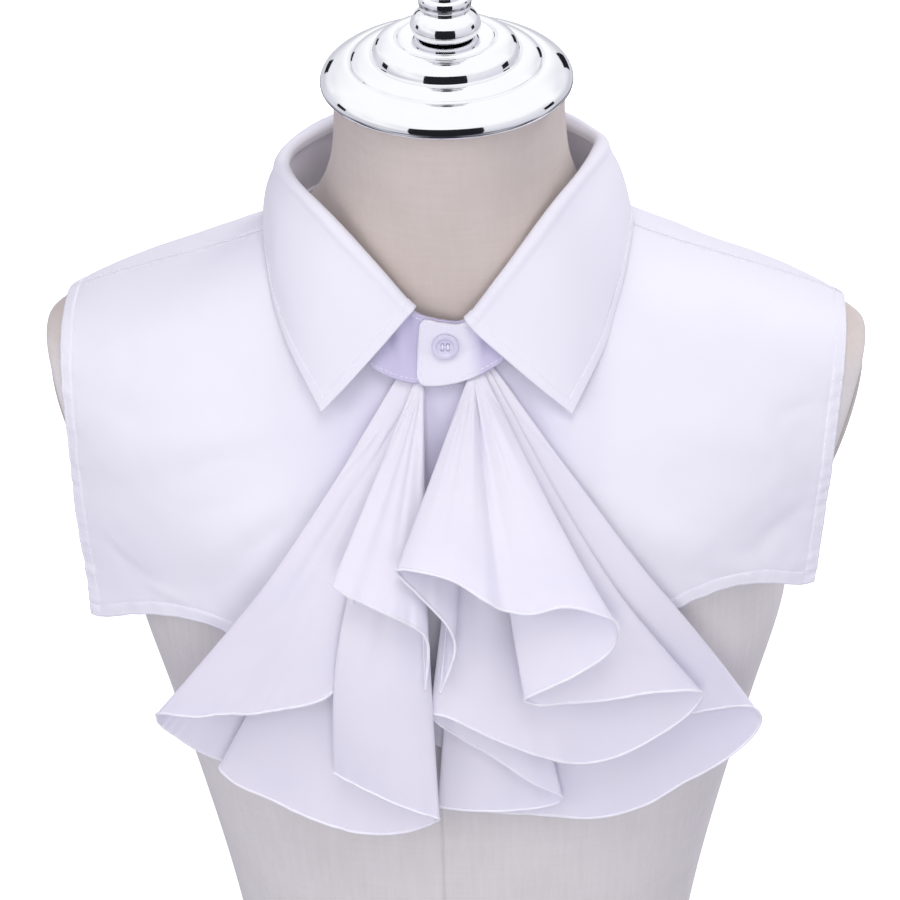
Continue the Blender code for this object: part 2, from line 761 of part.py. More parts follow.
def build_button(collection, cutters, finish):
    """The button on the stand: a turned disc with a raised rim and four holes."""
    r, t = BUTTON_RADIUS, BUTTON_THICKNESS
    profile = ((0.0, 0.68 * t), (0.58 * r, 0.68 * t), (0.70 * r, t), (0.88 * r, t),
               (r, 0.62 * t), (0.97 * r, 0.2 * t), (0.80 * r, 0.0), (0.0, 0.0))
    button = turned("neck_button", profile, finish["button"], collection)
    away = STAND_LAP_STEP + STAND_CLOTH / 2 + BUTTON_GAP
    place, normal = on_stand(BUTTON_ANGLE, BUTTON_RISE, away)
    pose = normal.to_track_quat("Z", "Y")
    button.rotation_mode = "QUATERNION"
    button.rotation_quaternion = pose
    button.location = place * MM
    for number in range(4):
        quarter = math.radians(45 + 90 * number)
        bpy.ops.mesh.primitive_cylinder_add(
            vertices=12, radius=BUTTON_HOLE_RADIUS * MM, depth=3 * t * MM)
        hole = bpy.context.active_object
        hole.name = f"button_hole_{number + 1}"
        offset = Vector((math.cos(quarter), math.sin(quarter), 0.0)) * BUTTON_HOLE_REACH
        hole.rotation_mode = "QUATERNION"
        hole.rotation_quaternion = pose
        hole.location = (place + pose @ (offset + Vector((0, 0, t / 2)))) * MM
        hole.hide_render = True
        hole.display_type = "WIRE"
        for owner in list(hole.users_collection):
            owner.objects.unlink(hole)
        cutters.objects.link(hole)
        cut = button.modifiers.new(hole.name, "BOOLEAN")
        cut.operation = "DIFFERENCE"
        cut.solver = "EXACT"
        cut.object = hole


# Ruffles

def smooth_path(sizes, count):
    """A smooth curve through a table's rows, with its points spread by the distance run.

    A step front to back counts for more than one across, which puts more points in the turns.
    """
    rows = np.stack(list(sizes.values()), axis=1)
    run = np.linalg.norm(np.diff(rows * PATH_WEIGHTS, axis=0), axis=1)
    keyed = {"run": np.concatenate([[0.0], np.cumsum(run)]), **sizes}
    at = np.linspace(0.0, keyed["run"][-1], count)
    return np.stack([through(keyed, column, at) for column in sizes], axis=1)


def ruffle_grid(turns, apex, gather_depth):
    """A ruffle from its gathers to its hem.

    The gathers are the hem's own turns drawn together against the foot of the stand: their
    distance in front of it goes by the square root of the hem's, which keeps the layers in order
    and apart. Between the two, the place across, the level and that distance run straight.
    """
    hem = smooth_path(turns, RUFFLE_STEPS)
    across, proud, level = hem[:, 0], hem[:, 1], hem[:, 2]
    down = np.linspace(0.0, 1.0, RUFFLE_ROWS)[:, None] ** RUFFLE_SPREAD
    opened = GATHER_ACROSS + (1 - GATHER_ACROSS) * down
    x = apex + (across - apex)[None, :] * opened
    z = GATHER_LEVEL + (level - GATHER_LEVEL)[None, :] * down
    gathered = GATHER_DEEP * (np.sqrt(proud) - np.sqrt(proud.min()))
    stand = gathered[None, :] * (1 - down) + proud[None, :] * down
    y = np.minimum(-hung_reach(x, z, -1) - SHIRT_CLEAR, gather_depth) - stand
    return np.stack([x, y, z], axis=-1)


def build_ruffles(collection, finish):
    """The two ruffles, each one strip of chiffon that turns back and forth down its side."""
    left = ruffle_grid(RUFFLE_LEFT, RUFFLE_LEFT_APEX, GATHER_LEFT_DEPTH)
    right = ruffle_grid(RUFFLE_RIGHT, RUFFLE_RIGHT_APEX, GATHER_RIGHT_DEPTH)
    for name, grid in (("jabot_ruffle_left", left), ("jabot_ruffle_right", right)):
        cloth_object(name, grid, RUFFLE_CLOTH, finish["chiffon"], collection, side=0.0)


main()
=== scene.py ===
"""Looks of a jabot collar worn on a limbless dress form.

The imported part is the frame: every cloth here is a fine surface laid where its solid is, with the
folds, hems and stitches that a shirt front, its collar and its two ruffles have. Lengths are in
millimetres until a mesh is made, the form stands on z = 0 and faces -Y, and left is the left of
the picture.
"""

import logging
import math
from dataclasses import dataclass
from enum import Enum
from functools import cached_property
from typing import Any, Iterable, Sequence

import bpy
import numpy as np
from mathutils import Matrix


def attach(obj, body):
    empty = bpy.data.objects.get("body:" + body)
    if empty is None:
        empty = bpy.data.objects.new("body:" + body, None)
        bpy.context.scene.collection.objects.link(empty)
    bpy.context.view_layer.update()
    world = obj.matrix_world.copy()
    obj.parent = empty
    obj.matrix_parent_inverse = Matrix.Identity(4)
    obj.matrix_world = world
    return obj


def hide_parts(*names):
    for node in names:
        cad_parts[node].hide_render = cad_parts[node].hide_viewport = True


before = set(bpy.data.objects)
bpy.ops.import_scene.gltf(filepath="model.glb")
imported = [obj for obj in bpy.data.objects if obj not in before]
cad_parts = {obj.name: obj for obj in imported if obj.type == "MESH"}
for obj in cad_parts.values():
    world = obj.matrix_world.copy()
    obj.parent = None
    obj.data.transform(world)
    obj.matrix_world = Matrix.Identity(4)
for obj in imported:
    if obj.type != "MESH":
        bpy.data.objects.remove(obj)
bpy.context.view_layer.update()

Array = np.ndarray
Material = bpy.types.Material
Piece = bpy.types.Object
Pair = tuple[float, float]
Colour = tuple[float, float, float]
Place = tuple[float, float, float]
Spread = tuple[int, tuple[float, int], tuple[float, int]]

MM = 0.001
TINY = 1e-9
UP = np.array([0.0, 0.0, 1.0])
BODY = "root"
LOG = logging.getLogger("jabot_collar")


class Edge(Enum):
    """One of the four edges of a grid of points."""

    TOP = 1
    BOTTOM = 2
    START = 3
    END = 4


class Side(Enum):
    """A side of the garment, with the sign that its places across have."""

    LEFT = -1
    RIGHT = 1

    @property
    def word(self) -> str:
        """The side's name, as the nodes have it."""
        return self.name.lower()


# Numbers and grids

@dataclass(frozen=True)
class Table:
    """Sizes in named columns, of which the first is the key. What a row leaves out is 0."""

    names: str
    rows: tuple[tuple[float, ...], ...]

    @cached_property
    def columns(self) -> dict[str, Array]:
        """The columns as arrays, by name."""
        names = self.names.split()
        return dict(zip(names, np.array([row + (0.0,) * (len(names) - len(row))
                                         for row in self.rows], float).T))

    def at(self, column: str, where: Any) -> Array:
        """Reads a smooth curve through one column at values of the key column."""
        key = next(iter(self.columns.values()))
        return cubic(key, self.columns[column], where)


def cubic(key: Array, value: Array, where: Any) -> Array:
    """Reads a cubic curve through points, whose slopes come from each point's neighbours.

    Args:
        key: The points' places, rising.
        value: The points' values, each a number or an array.
        where: The places to read.

    Returns:
        The values there, held level outside the points.
    """
    slope = np.gradient(value, key, axis=0)
    where = np.clip(np.asarray(where, float), key[0], key[-1])
    left = np.clip(np.searchsorted(key, where, side="right") - 1, 0, len(key) - 2)
    span = key[left + 1] - key[left]
    t = (where - key[left]) / span
    shape = np.shape(where) + (1,) * (value.ndim - 1)
    span, t = np.reshape(span, shape), np.reshape(t, shape)
    return ((2 * t**3 - 3 * t**2 + 1) * value[left] + (t**3 - 2 * t**2 + t) * span * slope[left]
            + (3 * t**2 - 2 * t**3) * value[left + 1] + (t**3 - t**2) * span * slope[left + 1])


def smooth_step(value: Any, low: float, high: float) -> Array:
    """0 below low, 1 above high, and a soft rise between."""
    t = np.clip((np.asarray(value, float) - low) / (high - low), 0.0, 1.0)
    return t * t * (3 - 2 * t)


def bell(distance: Any, width: Any) -> Array:
    """A soft bump over a distance of 0, which has fallen to about a third one width away."""
    return np.exp(-((distance / width) ** 2))


def crowded(middle: int, start: tuple[float, int] = (0.0, 0),
            end: tuple[float, int] = (0.0, 0)) -> Array:
    """Numbers from 0 to 1 that lie closer together near the two ends.

    Args:
        middle: How many steps the middle has.
        start: The share of the run at the start, and how many steps it has.
        end: The same at the end.

    Returns:
        The numbers, rising.
    """
    low, high = start[0], 1.0 - end[0]
    return np.concatenate([np.linspace(0.0, low, start[1], endpoint=False),
                           np.linspace(low, high, middle, endpoint=False),
                           np.linspace(high, 1.0, end[1] + 1)])


def unit(vectors: Array) -> Array:
    """Vectors at length 1."""
    return vectors / np.maximum(np.linalg.norm(vectors, axis=-1, keepdims=True), TINY)


def full_turn(steps: int) -> Array:
    """Angles that go once round in even steps."""
    return np.linspace(0.0, 2 * math.pi, steps, endpoint=False)


def normals(grid: Array) -> Array:
    """The way a grid faces at each point: across its rows by down its columns."""
    return unit(np.cross(np.gradient(grid, axis=1), np.gradient(grid, axis=0)))


def moved_out(grid: Array, distance: Any) -> Array:
    """A grid moved along its own normals."""
    return grid + normals(grid) * np.asarray(distance)


def from_edge(grid: Array, edge: Edge) -> Array:
    """Turns a grid so that one of its edges is its first row.

    Args:
        grid: The points.
        edge: The edge.

    Returns:
        The same points, by how far in from the edge they are and where along it.
    """
    if edge in (Edge.TOP, Edge.BOTTOM):
        return grid if edge is Edge.TOP else grid[::-1]
    turned = np.swapaxes(grid, 0, 1)
    return turned if edge is Edge.START else turned[::-1]


def run_of(line: Array) -> Array:
    """The distance run at each point of a line, or down each column of a grid."""
    steps = np.linalg.norm(np.diff(line, axis=0), axis=-1)
    return np.concatenate([np.zeros_like(steps[:1]), np.cumsum(steps, axis=0)])


def run_from(grid: Array, edge: Edge) -> Array:
    """The distance of each point of a grid from one edge, along the grid's own lines.

    Args:
        grid: The points.
        edge: The edge that has a distance of 0.

    Returns:
        The distances, in the grid's own order.
    """
    run = run_of(from_edge(grid, edge))
    if edge in (Edge.BOTTOM, Edge.END):
        run = run[::-1]
    return run if edge in (Edge.TOP, Edge.BOTTOM) else np.swapaxes(run, 0, 1)


def read_line(run: Array, values: Array, at: Array) -> Array:
    """Reads rows of values, which lie at rising places, in straight lines between them."""
    return np.stack([np.interp(at, run, column) for column in values.T], axis=-1)


def inset_line(grid: Array, edge: Edge, distance: float) -> tuple[Array, Array]:
    """The line on a grid that keeps a distance from one edge.

    Args:
        grid: The surface's points.
        edge: The edge that the line follows.
        distance: How far inside the edge it lies.

    Returns:
        The line's points and the way the surface faces at them.
    """
    turned, facing = from_edge(grid, edge), from_edge(normals(grid), edge)
    run = run_of(turned)
    after = np.clip((run < distance).sum(axis=0), 1, len(run) - 1)
    column = np.arange(run.shape[1])
    low, high = run[after - 1, column], run[after, column]
    t = np.clip((distance - low) / np.maximum(high - low, TINY), 0.0, 1.0)[:, None]
    line, face = (rows[after - 1, column] * (1 - t) + rows[after, column] * t
                  for rows in (turned, facing))
    return line, unit(face)


def spaced_line(line: Array, facing: Array, pitch: float) -> tuple[Array, Array, Array]:
    """Places along a line at one pitch.

    Args:
        line: The line's points.
        facing: The way the surface faces at them.
        pitch: The distance between places.

    Returns:
        The places, the way the line runs there and the way the surface faces there.
    """
    run = run_of(line)
    at = np.arange(pitch, run[-1] - pitch / 2, pitch)
    place, along, face = (read_line(run, values, at) for values in
                          (line, np.gradient(line, run, axis=0), facing))
    return place, unit(along), unit(face)


def wander(u: Array, v: Array, size: float, seed: int, waves: int = 7) -> Array:
    """A soft uneven pattern of about unit height: a sum of sine waves in mixed directions.

    Args:
        u: Places in one direction.
        v: Places in the other.
        size: The length of the longest wave.
        seed: Picks the pattern.
        waves: How many waves are summed.

    Returns:
        The pattern's height at each place.
    """
    draw = np.random.default_rng(seed)
    turn = draw.uniform(0, 2 * math.pi, waves)
    length = size * draw.uniform(0.45, 1.0, waves)
    phase = draw.uniform(0, 2 * math.pi, waves)
    total = np.zeros_like(np.asarray(u, float))
    for angle, span, start in zip(turn, length, phase):
        total = total + np.sin(2 * math.pi * (u * math.cos(angle) + v * math.sin(angle)) / span
                               + start)
    return total / math.sqrt(waves)


# Meshes

def grid_faces(rows: int, columns: int, closed: bool = False) -> Array:
    """Quads of a grid of points.

    Args:
        rows: How many rows it has.
        columns: How many columns it has.
        closed: Whether the last column is joined to the first.

    Returns:
        The numbers of the four points of each quad.
    """
    last = columns if closed else columns - 1
    row, column = np.meshgrid(np.arange(rows - 1), np.arange(last), indexing="ij")
    beside = (column + 1) % columns
    quads = np.stack([row * columns + column, row * columns + beside,
                      (row + 1) * columns + beside, (row + 1) * columns + column], axis=-1)
    return quads.reshape(-1, 4)


def linked(name: str, data: Any) -> Piece:
    """Puts a mesh, a camera or a light into the scene as a new object.

    Args:
        name: The object's name.
        data: What it shows.

    Returns:
        The object.
    """
    made = bpy.data.objects.new(name, data)
    bpy.context.scene.collection.objects.link(made)
    return made


def new_piece(name: str, points: Array, quads: Array, material: Material,
              caps: Sequence[Array] = (), uv: Array | None = None) -> Piece:
    """Makes a smooth-shaded object at the origin from points in mm.

    Args:
        name: The piece's name.
        points: The points.
        quads: Faces of four points.
        material: Its finish.
        caps: Faces of many points, which close the ends.
        uv: The place of each point on the flat cloth, in metres.

    Returns:
        The new object, which rides on the part.
    """
    mesh = bpy.data.meshes.new(name)
    points = np.asarray(points, float).reshape(-1, 3)
    loops = np.concatenate([quads.ravel(), *caps]).astype(np.int32)
    counts = np.array([4] * len(quads) + [len(cap) for cap in caps], np.int32)
    mesh.vertices.add(len(points))
    mesh.vertices.foreach_set("co", (points * MM).astype(np.float32).ravel())
    mesh.loops.add(len(loops))
    mesh.loops.foreach_set("vertex_index", loops)
    mesh.polygons.add(len(counts))
    starts = np.concatenate([[0], np.cumsum(counts)[:-1]]).astype(np.int32)
    mesh.polygons.foreach_set("loop_start", starts)
    mesh.update(calc_edges=True)
    if uv is not None:
        layer = mesh.uv_layers.new(name="UVMap")
        layer.data.foreach_set("uv", uv.reshape(-1, 2)[loops].astype(np.float32).ravel())
    mesh.validate()
    mesh.shade_smooth()
    mesh.materials.append(material)
    piece = linked(name, mesh)
    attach(piece, BODY)
    return piece


def flat_places(grid: Array) -> Array:
    """Works out where each point of a grid lies on the flat cloth.

    A column's place is the sum of the mean steps between the columns before it, and a row's the
    same down the columns.

    Args:
        grid: The points.

    Returns:
        The places, in mm.
    """
    along = np.linalg.norm(np.diff(grid, axis=1), axis=2).mean(axis=0)
    down = np.linalg.norm(np.diff(grid, axis=0), axis=2).mean(axis=1)
    u, v = (np.concatenate([[0.0], np.cumsum(steps)]) for steps in (along, down))
    return np.stack(np.meshgrid(u, v), axis=-1)


def cloth_piece(name: str, grid: Array, thickness: float, material: Material,
                side: float = 1.0) -> Piece:
    """Makes a wall of cloth on a grid.

    Args:
        name: The piece's name.
        grid: The points of the surface that the wall starts from.
        thickness: The wall's thickness.
        material: Its finish.
        side: 1 thickens to the side that the grid faces, 0 to both.

    Returns:
        The new piece.
    """
    rows, columns, _ = grid.shape
    piece = new_piece(name, grid, grid_faces(rows, columns), material, uv=flat_places(grid) * MM)
    wall = piece.modifiers.new("wall", "SOLIDIFY")
    wall.thickness = thickness * MM
    wall.offset = side
    wall.use_even_offset = False
    return piece


def ringed_piece(name: str, points: Array, material: Material,
                 uv: Array | None = None, flipped: bool = False) -> Piece:
    """Makes a piece from rings of points, joined round, with both of its ends closed.

    Args:
        name: The piece's name.
        points: The points, by ring and step.
        material: Its finish.
        uv: The place of each point on the flat cloth, in metres.
        flipped: Whether the faces are turned over, for rings that run the other way.

    Returns:
        The new piece.
    """
    rings, steps, _ = points.shape
    quads = grid_faces(rings, steps, closed=True)
    around = np.arange(steps)
    ends = [around[::-1], (rings - 1) * steps + around]
    if flipped:
        quads, ends = quads[:, ::-1], [end[::-1] for end in ends]
    return new_piece(name, points, quads, material, ends, uv)


def tube(name: str, line: Array, facing: Array, radius: Any, material: Material,
         sides: int = 10) -> Piece:
    """Makes a tube along a line: a ring round each point, square to the line, with closed ends.

    Args:
        name: The piece's name.
        line: The tube's middle.
        facing: The way its surface faces, which keeps the rings from twisting.
        radius: Its radius, or one for each point.
        material: Its finish.
        sides: How many sides a ring has.

    Returns:
        The new piece.
    """
    along = unit(np.gradient(line, axis=0))
    across = unit(np.cross(along, facing))
    face = np.cross(across, along)
    turn = full_turn(sides)
    radius = np.broadcast_to(np.asarray(radius, float), (len(line),))[:, None, None]
    ring = (face[:, None] * np.cos(turn)[None, :, None]
            + across[:, None] * np.sin(turn)[None, :, None])
    uv = np.stack(np.broadcast_arrays(run_of(line)[:, None], turn * radius[:, 0]), axis=-1)
    return ringed_piece(name, line[:, None] + ring * radius, material, uv * MM)


@dataclass(frozen=True)
class Stitching:
    """Rows of sewing stitches: small rounded bars of thread that lie along lines on the cloth."""

    pitch: float = 2.6
    length: float = 2.0
    radius: float = 0.17
    flatness: float = 1.2
    sides: int = 5
    bar: Table = Table("along thick rise", (
        (-0.5, 0.25, -0.5), (-0.36, 0.85, 0.3), (0, 1, 0.75), (0.36, 0.85, 0.3),
        (0.5, 0.25, -0.5)))

    def sewn(self, name: str, lines: Iterable[tuple[Array, Array]],
             material: Material) -> Piece:
        """Sews stitches along lines.

        Each is a ring of points at every row of the bar's table, laid along the line, raised off
        the cloth and made wider than it is high.

        Args:
            name: The piece's name.
            lines: Points of each line and the way the cloth faces at them.
            material: The thread's finish.

        Returns:
            The new piece, which holds all the stitches.
        """
        places = [spaced_line(line, facing, self.pitch) for line, facing in lines]
        place, along, face = (np.concatenate(part) for part in zip(*places))
        turn = full_turn(self.sides)
        run, thick, rise = (column[:, None] for column in self.bar.columns.values())
        local = np.stack([
            np.broadcast_to(run * self.length, (len(run), self.sides)),
            rise * self.radius + np.cos(turn) * thick * self.radius,
            np.sin(turn) * thick * self.radius * self.flatness], axis=-1).reshape(-1, 3)
        frames = np.stack([along, face, np.cross(along, face)], axis=1)
        points = place[:, None] + np.einsum("vk,mkc->mvc", local, frames)
        shift = (np.arange(len(place)) * len(local))[:, None]
        quads = grid_faces(len(run), self.sides, closed=True) + shift[..., None]
        first = np.arange(self.sides)[::-1]
        caps = [*(first + shift), *(len(local) - 1 - first + shift)]
        return new_piece(name, points, quads.reshape(-1, 4), material, caps)


def sewn_cloth(name: str, grid: Array, wall: float, seams: Iterable[tuple[Edge, float]],
               material: Material, thread: Material) -> tuple[Piece, Piece]:
    """Makes a wall of cloth with stitches along its edges.

    Args:
        name: The start of the pieces' names.
        grid: The wall's inner face.
        wall: Its thickness.
        seams: Each row of stitches: the edge that it follows and how far inside it lies.
        material: The cloth's finish.
        thread: The thread's finish.

    Returns:
        The cloth and its stitches.
    """
    piece = cloth_piece(f"{name}_cloth", grid, wall, material)
    outer = moved_out(grid, wall)
    lines = [inset_line(outer, edge, inset) for edge, inset in seams]
    return piece, Stitching().sewn(f"{name}_stitches", lines, thread)


def lathe(name: str, profile: Array, centre: Array, material: Material,
          steps: int, wide: Sequence[float] = (1.0, 1.0), mapped: bool = False) -> Piece:
    """Makes a turned piece: a profile carried round its axis, with closed poles.

    Args:
        name: The piece's name.
        profile: Rows of distance out and height, from the top down, off the axis at both ends.
        centre: A 4 by 4 array that places the turned piece.
        material: Its finish.
        steps: How many steps go round.
        wide: How much wider than round it is in its first two directions.
        mapped: Whether it is cloth, with its map laid on its depth and level.

    Returns:
        The new piece.
    """
    turn = full_turn(steps)
    out, height = profile[:, 0][:, None], profile[:, 1][:, None]
    ring = np.stack([out * np.cos(turn), out * np.sin(turn),
                     np.broadcast_to(height, (len(profile), steps))], axis=-1)
    points = (ring * np.array([*wide, 1.0])) @ centre[:3, :3].T + centre[:3, 3]
    uv = points[..., 1:] * MM if mapped else None
    return ringed_piece(name, points, material, uv, flipped=True)


def placed_frame(x: Array, y: Array, z: Array, place: Any) -> Array:
    """The 4 by 4 array whose columns are three directions and a place."""
    return np.vstack([np.stack([x, y, z, place], axis=1), [0.0, 0.0, 0.0, 1.0]])


def rounded(profile: Sequence[Pair], rounds: int = 3) -> Array:
    """A profile with its corners cut again and again to a quarter of each side, which rounds them.

    Args:
        profile: The profile's corners.
        rounds: How many times the corners are cut.

    Returns:
        The rounded profile, with its ends kept.
    """
    line = np.array(profile, float)
    for _ in range(rounds):
        near = line[:-1] * 0.75 + line[1:] * 0.25
        far = line[:-1] * 0.25 + line[1:] * 0.75
        cut = np.stack([near, far], axis=1).reshape(-1, 2)
        line = np.concatenate([line[:1], cut[1:-1], line[-1:]])
    return line


# Shaders

class Value:
    """An output of a shader node, on which arithmetic adds Math nodes."""

    def __init__(self, shader: "Shader", socket: bpy.types.NodeSocket) -> None:
        """Keeps the shader that the socket is in."""
        self.shader = shader
        self.socket = socket

    def _math(self, operation: str, first: Any, second: Any) -> "Value":
        """Adds one Math node."""
        return self.shader.node("ShaderNodeMath", {"operation": operation}, {0: first, 1: second})

    def __add__(self, other: Any) -> "Value":
        """This plus another."""
        return self._math("ADD", self, other)

    __radd__ = __add__

    def __sub__(self, other: Any) -> "Value":
        """This less another."""
        return self._math("SUBTRACT", self, other)

    def __rsub__(self, other: Any) -> "Value":
        """Another less this."""
        return self._math("SUBTRACT", other, self)

    def __mul__(self, other: Any) -> "Value":
        """This times another."""
        return self._math("MULTIPLY", self, other)

    __rmul__ = __mul__

    def sine(self) -> "Value":
        """The sine of this."""
        return self._math("SINE", self, 0.0)

    def size(self) -> "Value":
        """This without its sign."""
        return self._math("ABSOLUTE", self, 0.0)

    def between(self, low: float, high: float) -> "Value":
        """0 at or below low, 1 at or above high, and a soft rise between."""
        return self.shader.node("ShaderNodeMapRange", {"interpolation_type": "SMOOTHSTEP"},
                                {"Value": self, "From Min": low, "From Max": high})


class Shader:
    """A material, or the surroundings, while its nodes are added."""

    def __init__(self, name: str, world: bpy.types.World | None = None) -> None:
        """Starts an empty material, or clears a world, and adds the output node.

        Args:
            name: The material's name.
            world: The surroundings, where it is they that get the nodes.
        """
        self.owner = world or bpy.data.materials.new(name)
        self.owner.use_nodes = True
        self.tree = self.owner.node_tree
        self.tree.nodes.clear()
        kind = "ShaderNodeOutputWorld" if world else "ShaderNodeOutputMaterial"
        self.out = self.tree.nodes.new(kind)

    def node(self, kind: str, settings: dict[str, Any] | None = None,
             inputs: dict[Any, Any] | None = None, output: Any = 0) -> Value:
        """Adds a node.

        Args:
            kind: The node's type.
            settings: Its properties, which are set first.
            inputs: Numbers, colours or other values for its sockets.
            output: The socket that is given back.

        Returns:
            The output's value.
        """
        made = self.tree.nodes.new(kind)
        for key, value in (settings or {}).items():
            setattr(made, key, value)
        for key, value in (inputs or {}).items():
            if isinstance(value, Value):
                self.tree.links.new(value.socket, made.inputs[key])
            else:
                made.inputs[key].default_value = value
        return Value(self, made.outputs[output])

    def places(self) -> Value:
        """The place on the flat cloth, from the piece's own map."""
        return self.node("ShaderNodeUVMap", {"uv_map": "UVMap"})

    def object_places(self) -> Value:
        """The place in the object."""
        return self.node("ShaderNodeTexCoord", output="Object")

    def split(self, vector: Value) -> tuple[Value, Value, Value]:
        """Splits a place.

        Args:
            vector: The place.

        Returns:
            Its three parts.
        """
        parts = self.node("ShaderNodeSeparateXYZ", None, {0: vector})
        sockets = parts.socket.node.outputs
        return Value(self, sockets[0]), Value(self, sockets[1]), Value(self, sockets[2])

    def distance(self, places: Value, centre: Sequence[float]) -> Value:
        """The distance of a place from a centre."""
        return self.node("ShaderNodeVectorMath", {"operation": "DISTANCE"},
                         {0: places, 1: tuple(centre)}, output="Value")

    def noise(self, places: Value, scale: float, stretch: Sequence[float] = (1, 1, 1),
              detail: float = 3.0, rough: float = 0.55) -> Value:
        """Adds a noise pattern.

        Args:
            places: Where it is read.
            scale: How many waves a metre holds.
            stretch: How that changes with the direction.
            detail: How many finer layers it has.
            rough: How strong they are.

        Returns:
            Its height, about 0.5.
        """
        moved = self.node("ShaderNodeMapping", {"vector_type": "POINT"},
                          {"Vector": places, "Scale": tuple(stretch)})
        return self.node("ShaderNodeTexNoise", {"noise_dimensions": "3D"},
                         {"Vector": moved, "Scale": scale, "Detail": detail, "Roughness": rough})

    def mix(self, share: Any, first: Any, second: Any) -> Value:
        """Mixes two colours by a share of the second."""
        return self.node("ShaderNodeMix", {"data_type": "RGBA", "blend_type": "MIX"},
                         {0: share, 6: opaque(first), 7: opaque(second)}, output=2)

    def bump(self, height: Value, depth: float, strength: float = 1.0) -> Value:
        """A bump of a depth in metres."""
        return self.node("ShaderNodeBump", None,
                         {"Height": height, "Distance": depth, "Strength": strength})

    def principled(self, **sockets: Any) -> Value:
        """Adds the main shader, with sockets named by words joined by underscores."""
        named = {key.replace("_", " "): opaque(value) for key, value in sockets.items()}
        return self.node("ShaderNodeBsdfPrincipled", None, named)

    def close(self, surface: Value) -> Any:
        """Gives the material or world its surface and hands it back."""
        self.tree.links.new(surface.socket, self.out.inputs["Surface"])
        return self.owner


def opaque(value: Any) -> Any:
    """A colour with its alpha, and anything else as it is."""
    return (*value, 1.0) if isinstance(value, tuple) and len(value) == 3 else value


# Finishes

@dataclass(frozen=True)
class Weave:
    """A woven cloth: threads both ways, uneven in tone, with a soft nap.

    A length is in mm, waves are counted in a metre, and a share is how strongly something counts.
    """

    name: str
    colour: Colour
    shade: Colour
    thread: float = 0.36
    relief: float = 0.035
    roughness: float = 0.8
    sheen: float = 0.25
    patch_waves: float = 9.0
    patch_share: float = 0.5
    thread_share: float = 0.18
    thread_rise: float = 0.7
    fuzz_waves: float = 900.0
    fuzz_share: float = 0.14
    fuzz_rise: float = 0.3
    slub: float = 0.0
    slub_waves: float = 260.0
    slub_rise: float = 0.6
    warp_stretch: Place = (1.0, 0.035, 1.0)
    weft_stretch: Place = (0.06, 1.0, 1.0)
    weft_slub: float = 0.35
    show_through: float = 0.0
    glow: float = 0.0
    glow_colour: Colour = (1.0, 1.0, 1.0)
    # painted shade: a darker colour that fades out round a place in the object, where shade falls
    painted_shade_at: Place | None = None
    painted_shade_reach: Pair = (0.0, 1.0)
    painted_shade_from: Pair | None = None
    painted_shade_colour: Colour = (1.0, 1.0, 1.0)
    painted_shade_share: float = 1.0

    def make(self) -> Material:
        """Makes the material.

        The threads are two sets of sine waves across each other. A slow noise shifts the tone
        between the colour and its shade, and a stretched one draws the slubs along the warp.
        Painted shade is a second, darker colour, which fades out with the distance from a place in
        the object and stands in for the shade that falls round that place.

        Returns:
            The material.
        """
        shader = Shader(self.name)
        places = shader.places()
        u, v, _ = shader.split(places)
        turns = 2 * math.pi / (self.thread * MM)
        threads = (u * turns).sine() * 0.25 + (v * turns).sine() * 0.25 + 0.5
        patches = shader.noise(places, self.patch_waves).between(0.3, 0.7)
        fuzz = shader.noise(places, self.fuzz_waves, detail=2.0)
        tone = (patches * self.patch_share + (1 - threads) * self.thread_share
                + fuzz * self.fuzz_share)
        height = threads * self.thread_rise + fuzz * self.fuzz_rise
        if self.slub:
            warp = shader.noise(places, self.slub_waves, self.warp_stretch, 4.0, 0.7)
            weft = shader.noise(places, self.slub_waves, self.weft_stretch)
            tone = (tone + (warp - 0.5) * self.slub
                    + (weft - 0.5) * (self.slub * self.weft_slub))
            height = height + warp * self.slub_rise
        colour = shader.mix(tone, self.colour, self.shade)
        # painted shade: the darker colour is mixed in near the place and fades with the distance
        if self.painted_shade_at:
            away = shader.distance(shader.object_places(), self.painted_shade_at)
            painted_shade = (1.0 - away.between(*self.painted_shade_reach)) * self.painted_shade_share
            if self.painted_shade_from:
                painted_shade = painted_shade * u.between(*self.painted_shade_from)
            colour = shader.mix(painted_shade, colour, self.painted_shade_colour)
        surface = shader.principled(
            Base_Color=colour, Roughness=self.roughness, Sheen_Weight=self.sheen,
            Sheen_Roughness=0.5, Specular_IOR_Level=0.25,
            Alpha=1.0 - (1 - threads) * self.show_through,
            Normal=shader.bump(height, self.relief * MM))
        if self.glow:
            behind = shader.node("ShaderNodeBsdfTranslucent", None,
                                 {"Color": opaque(self.glow_colour)})
            surface = shader.node("ShaderNodeMixShader", None,
                                  {0: self.glow, 1: surface, 2: behind})
        return shader.close(surface)


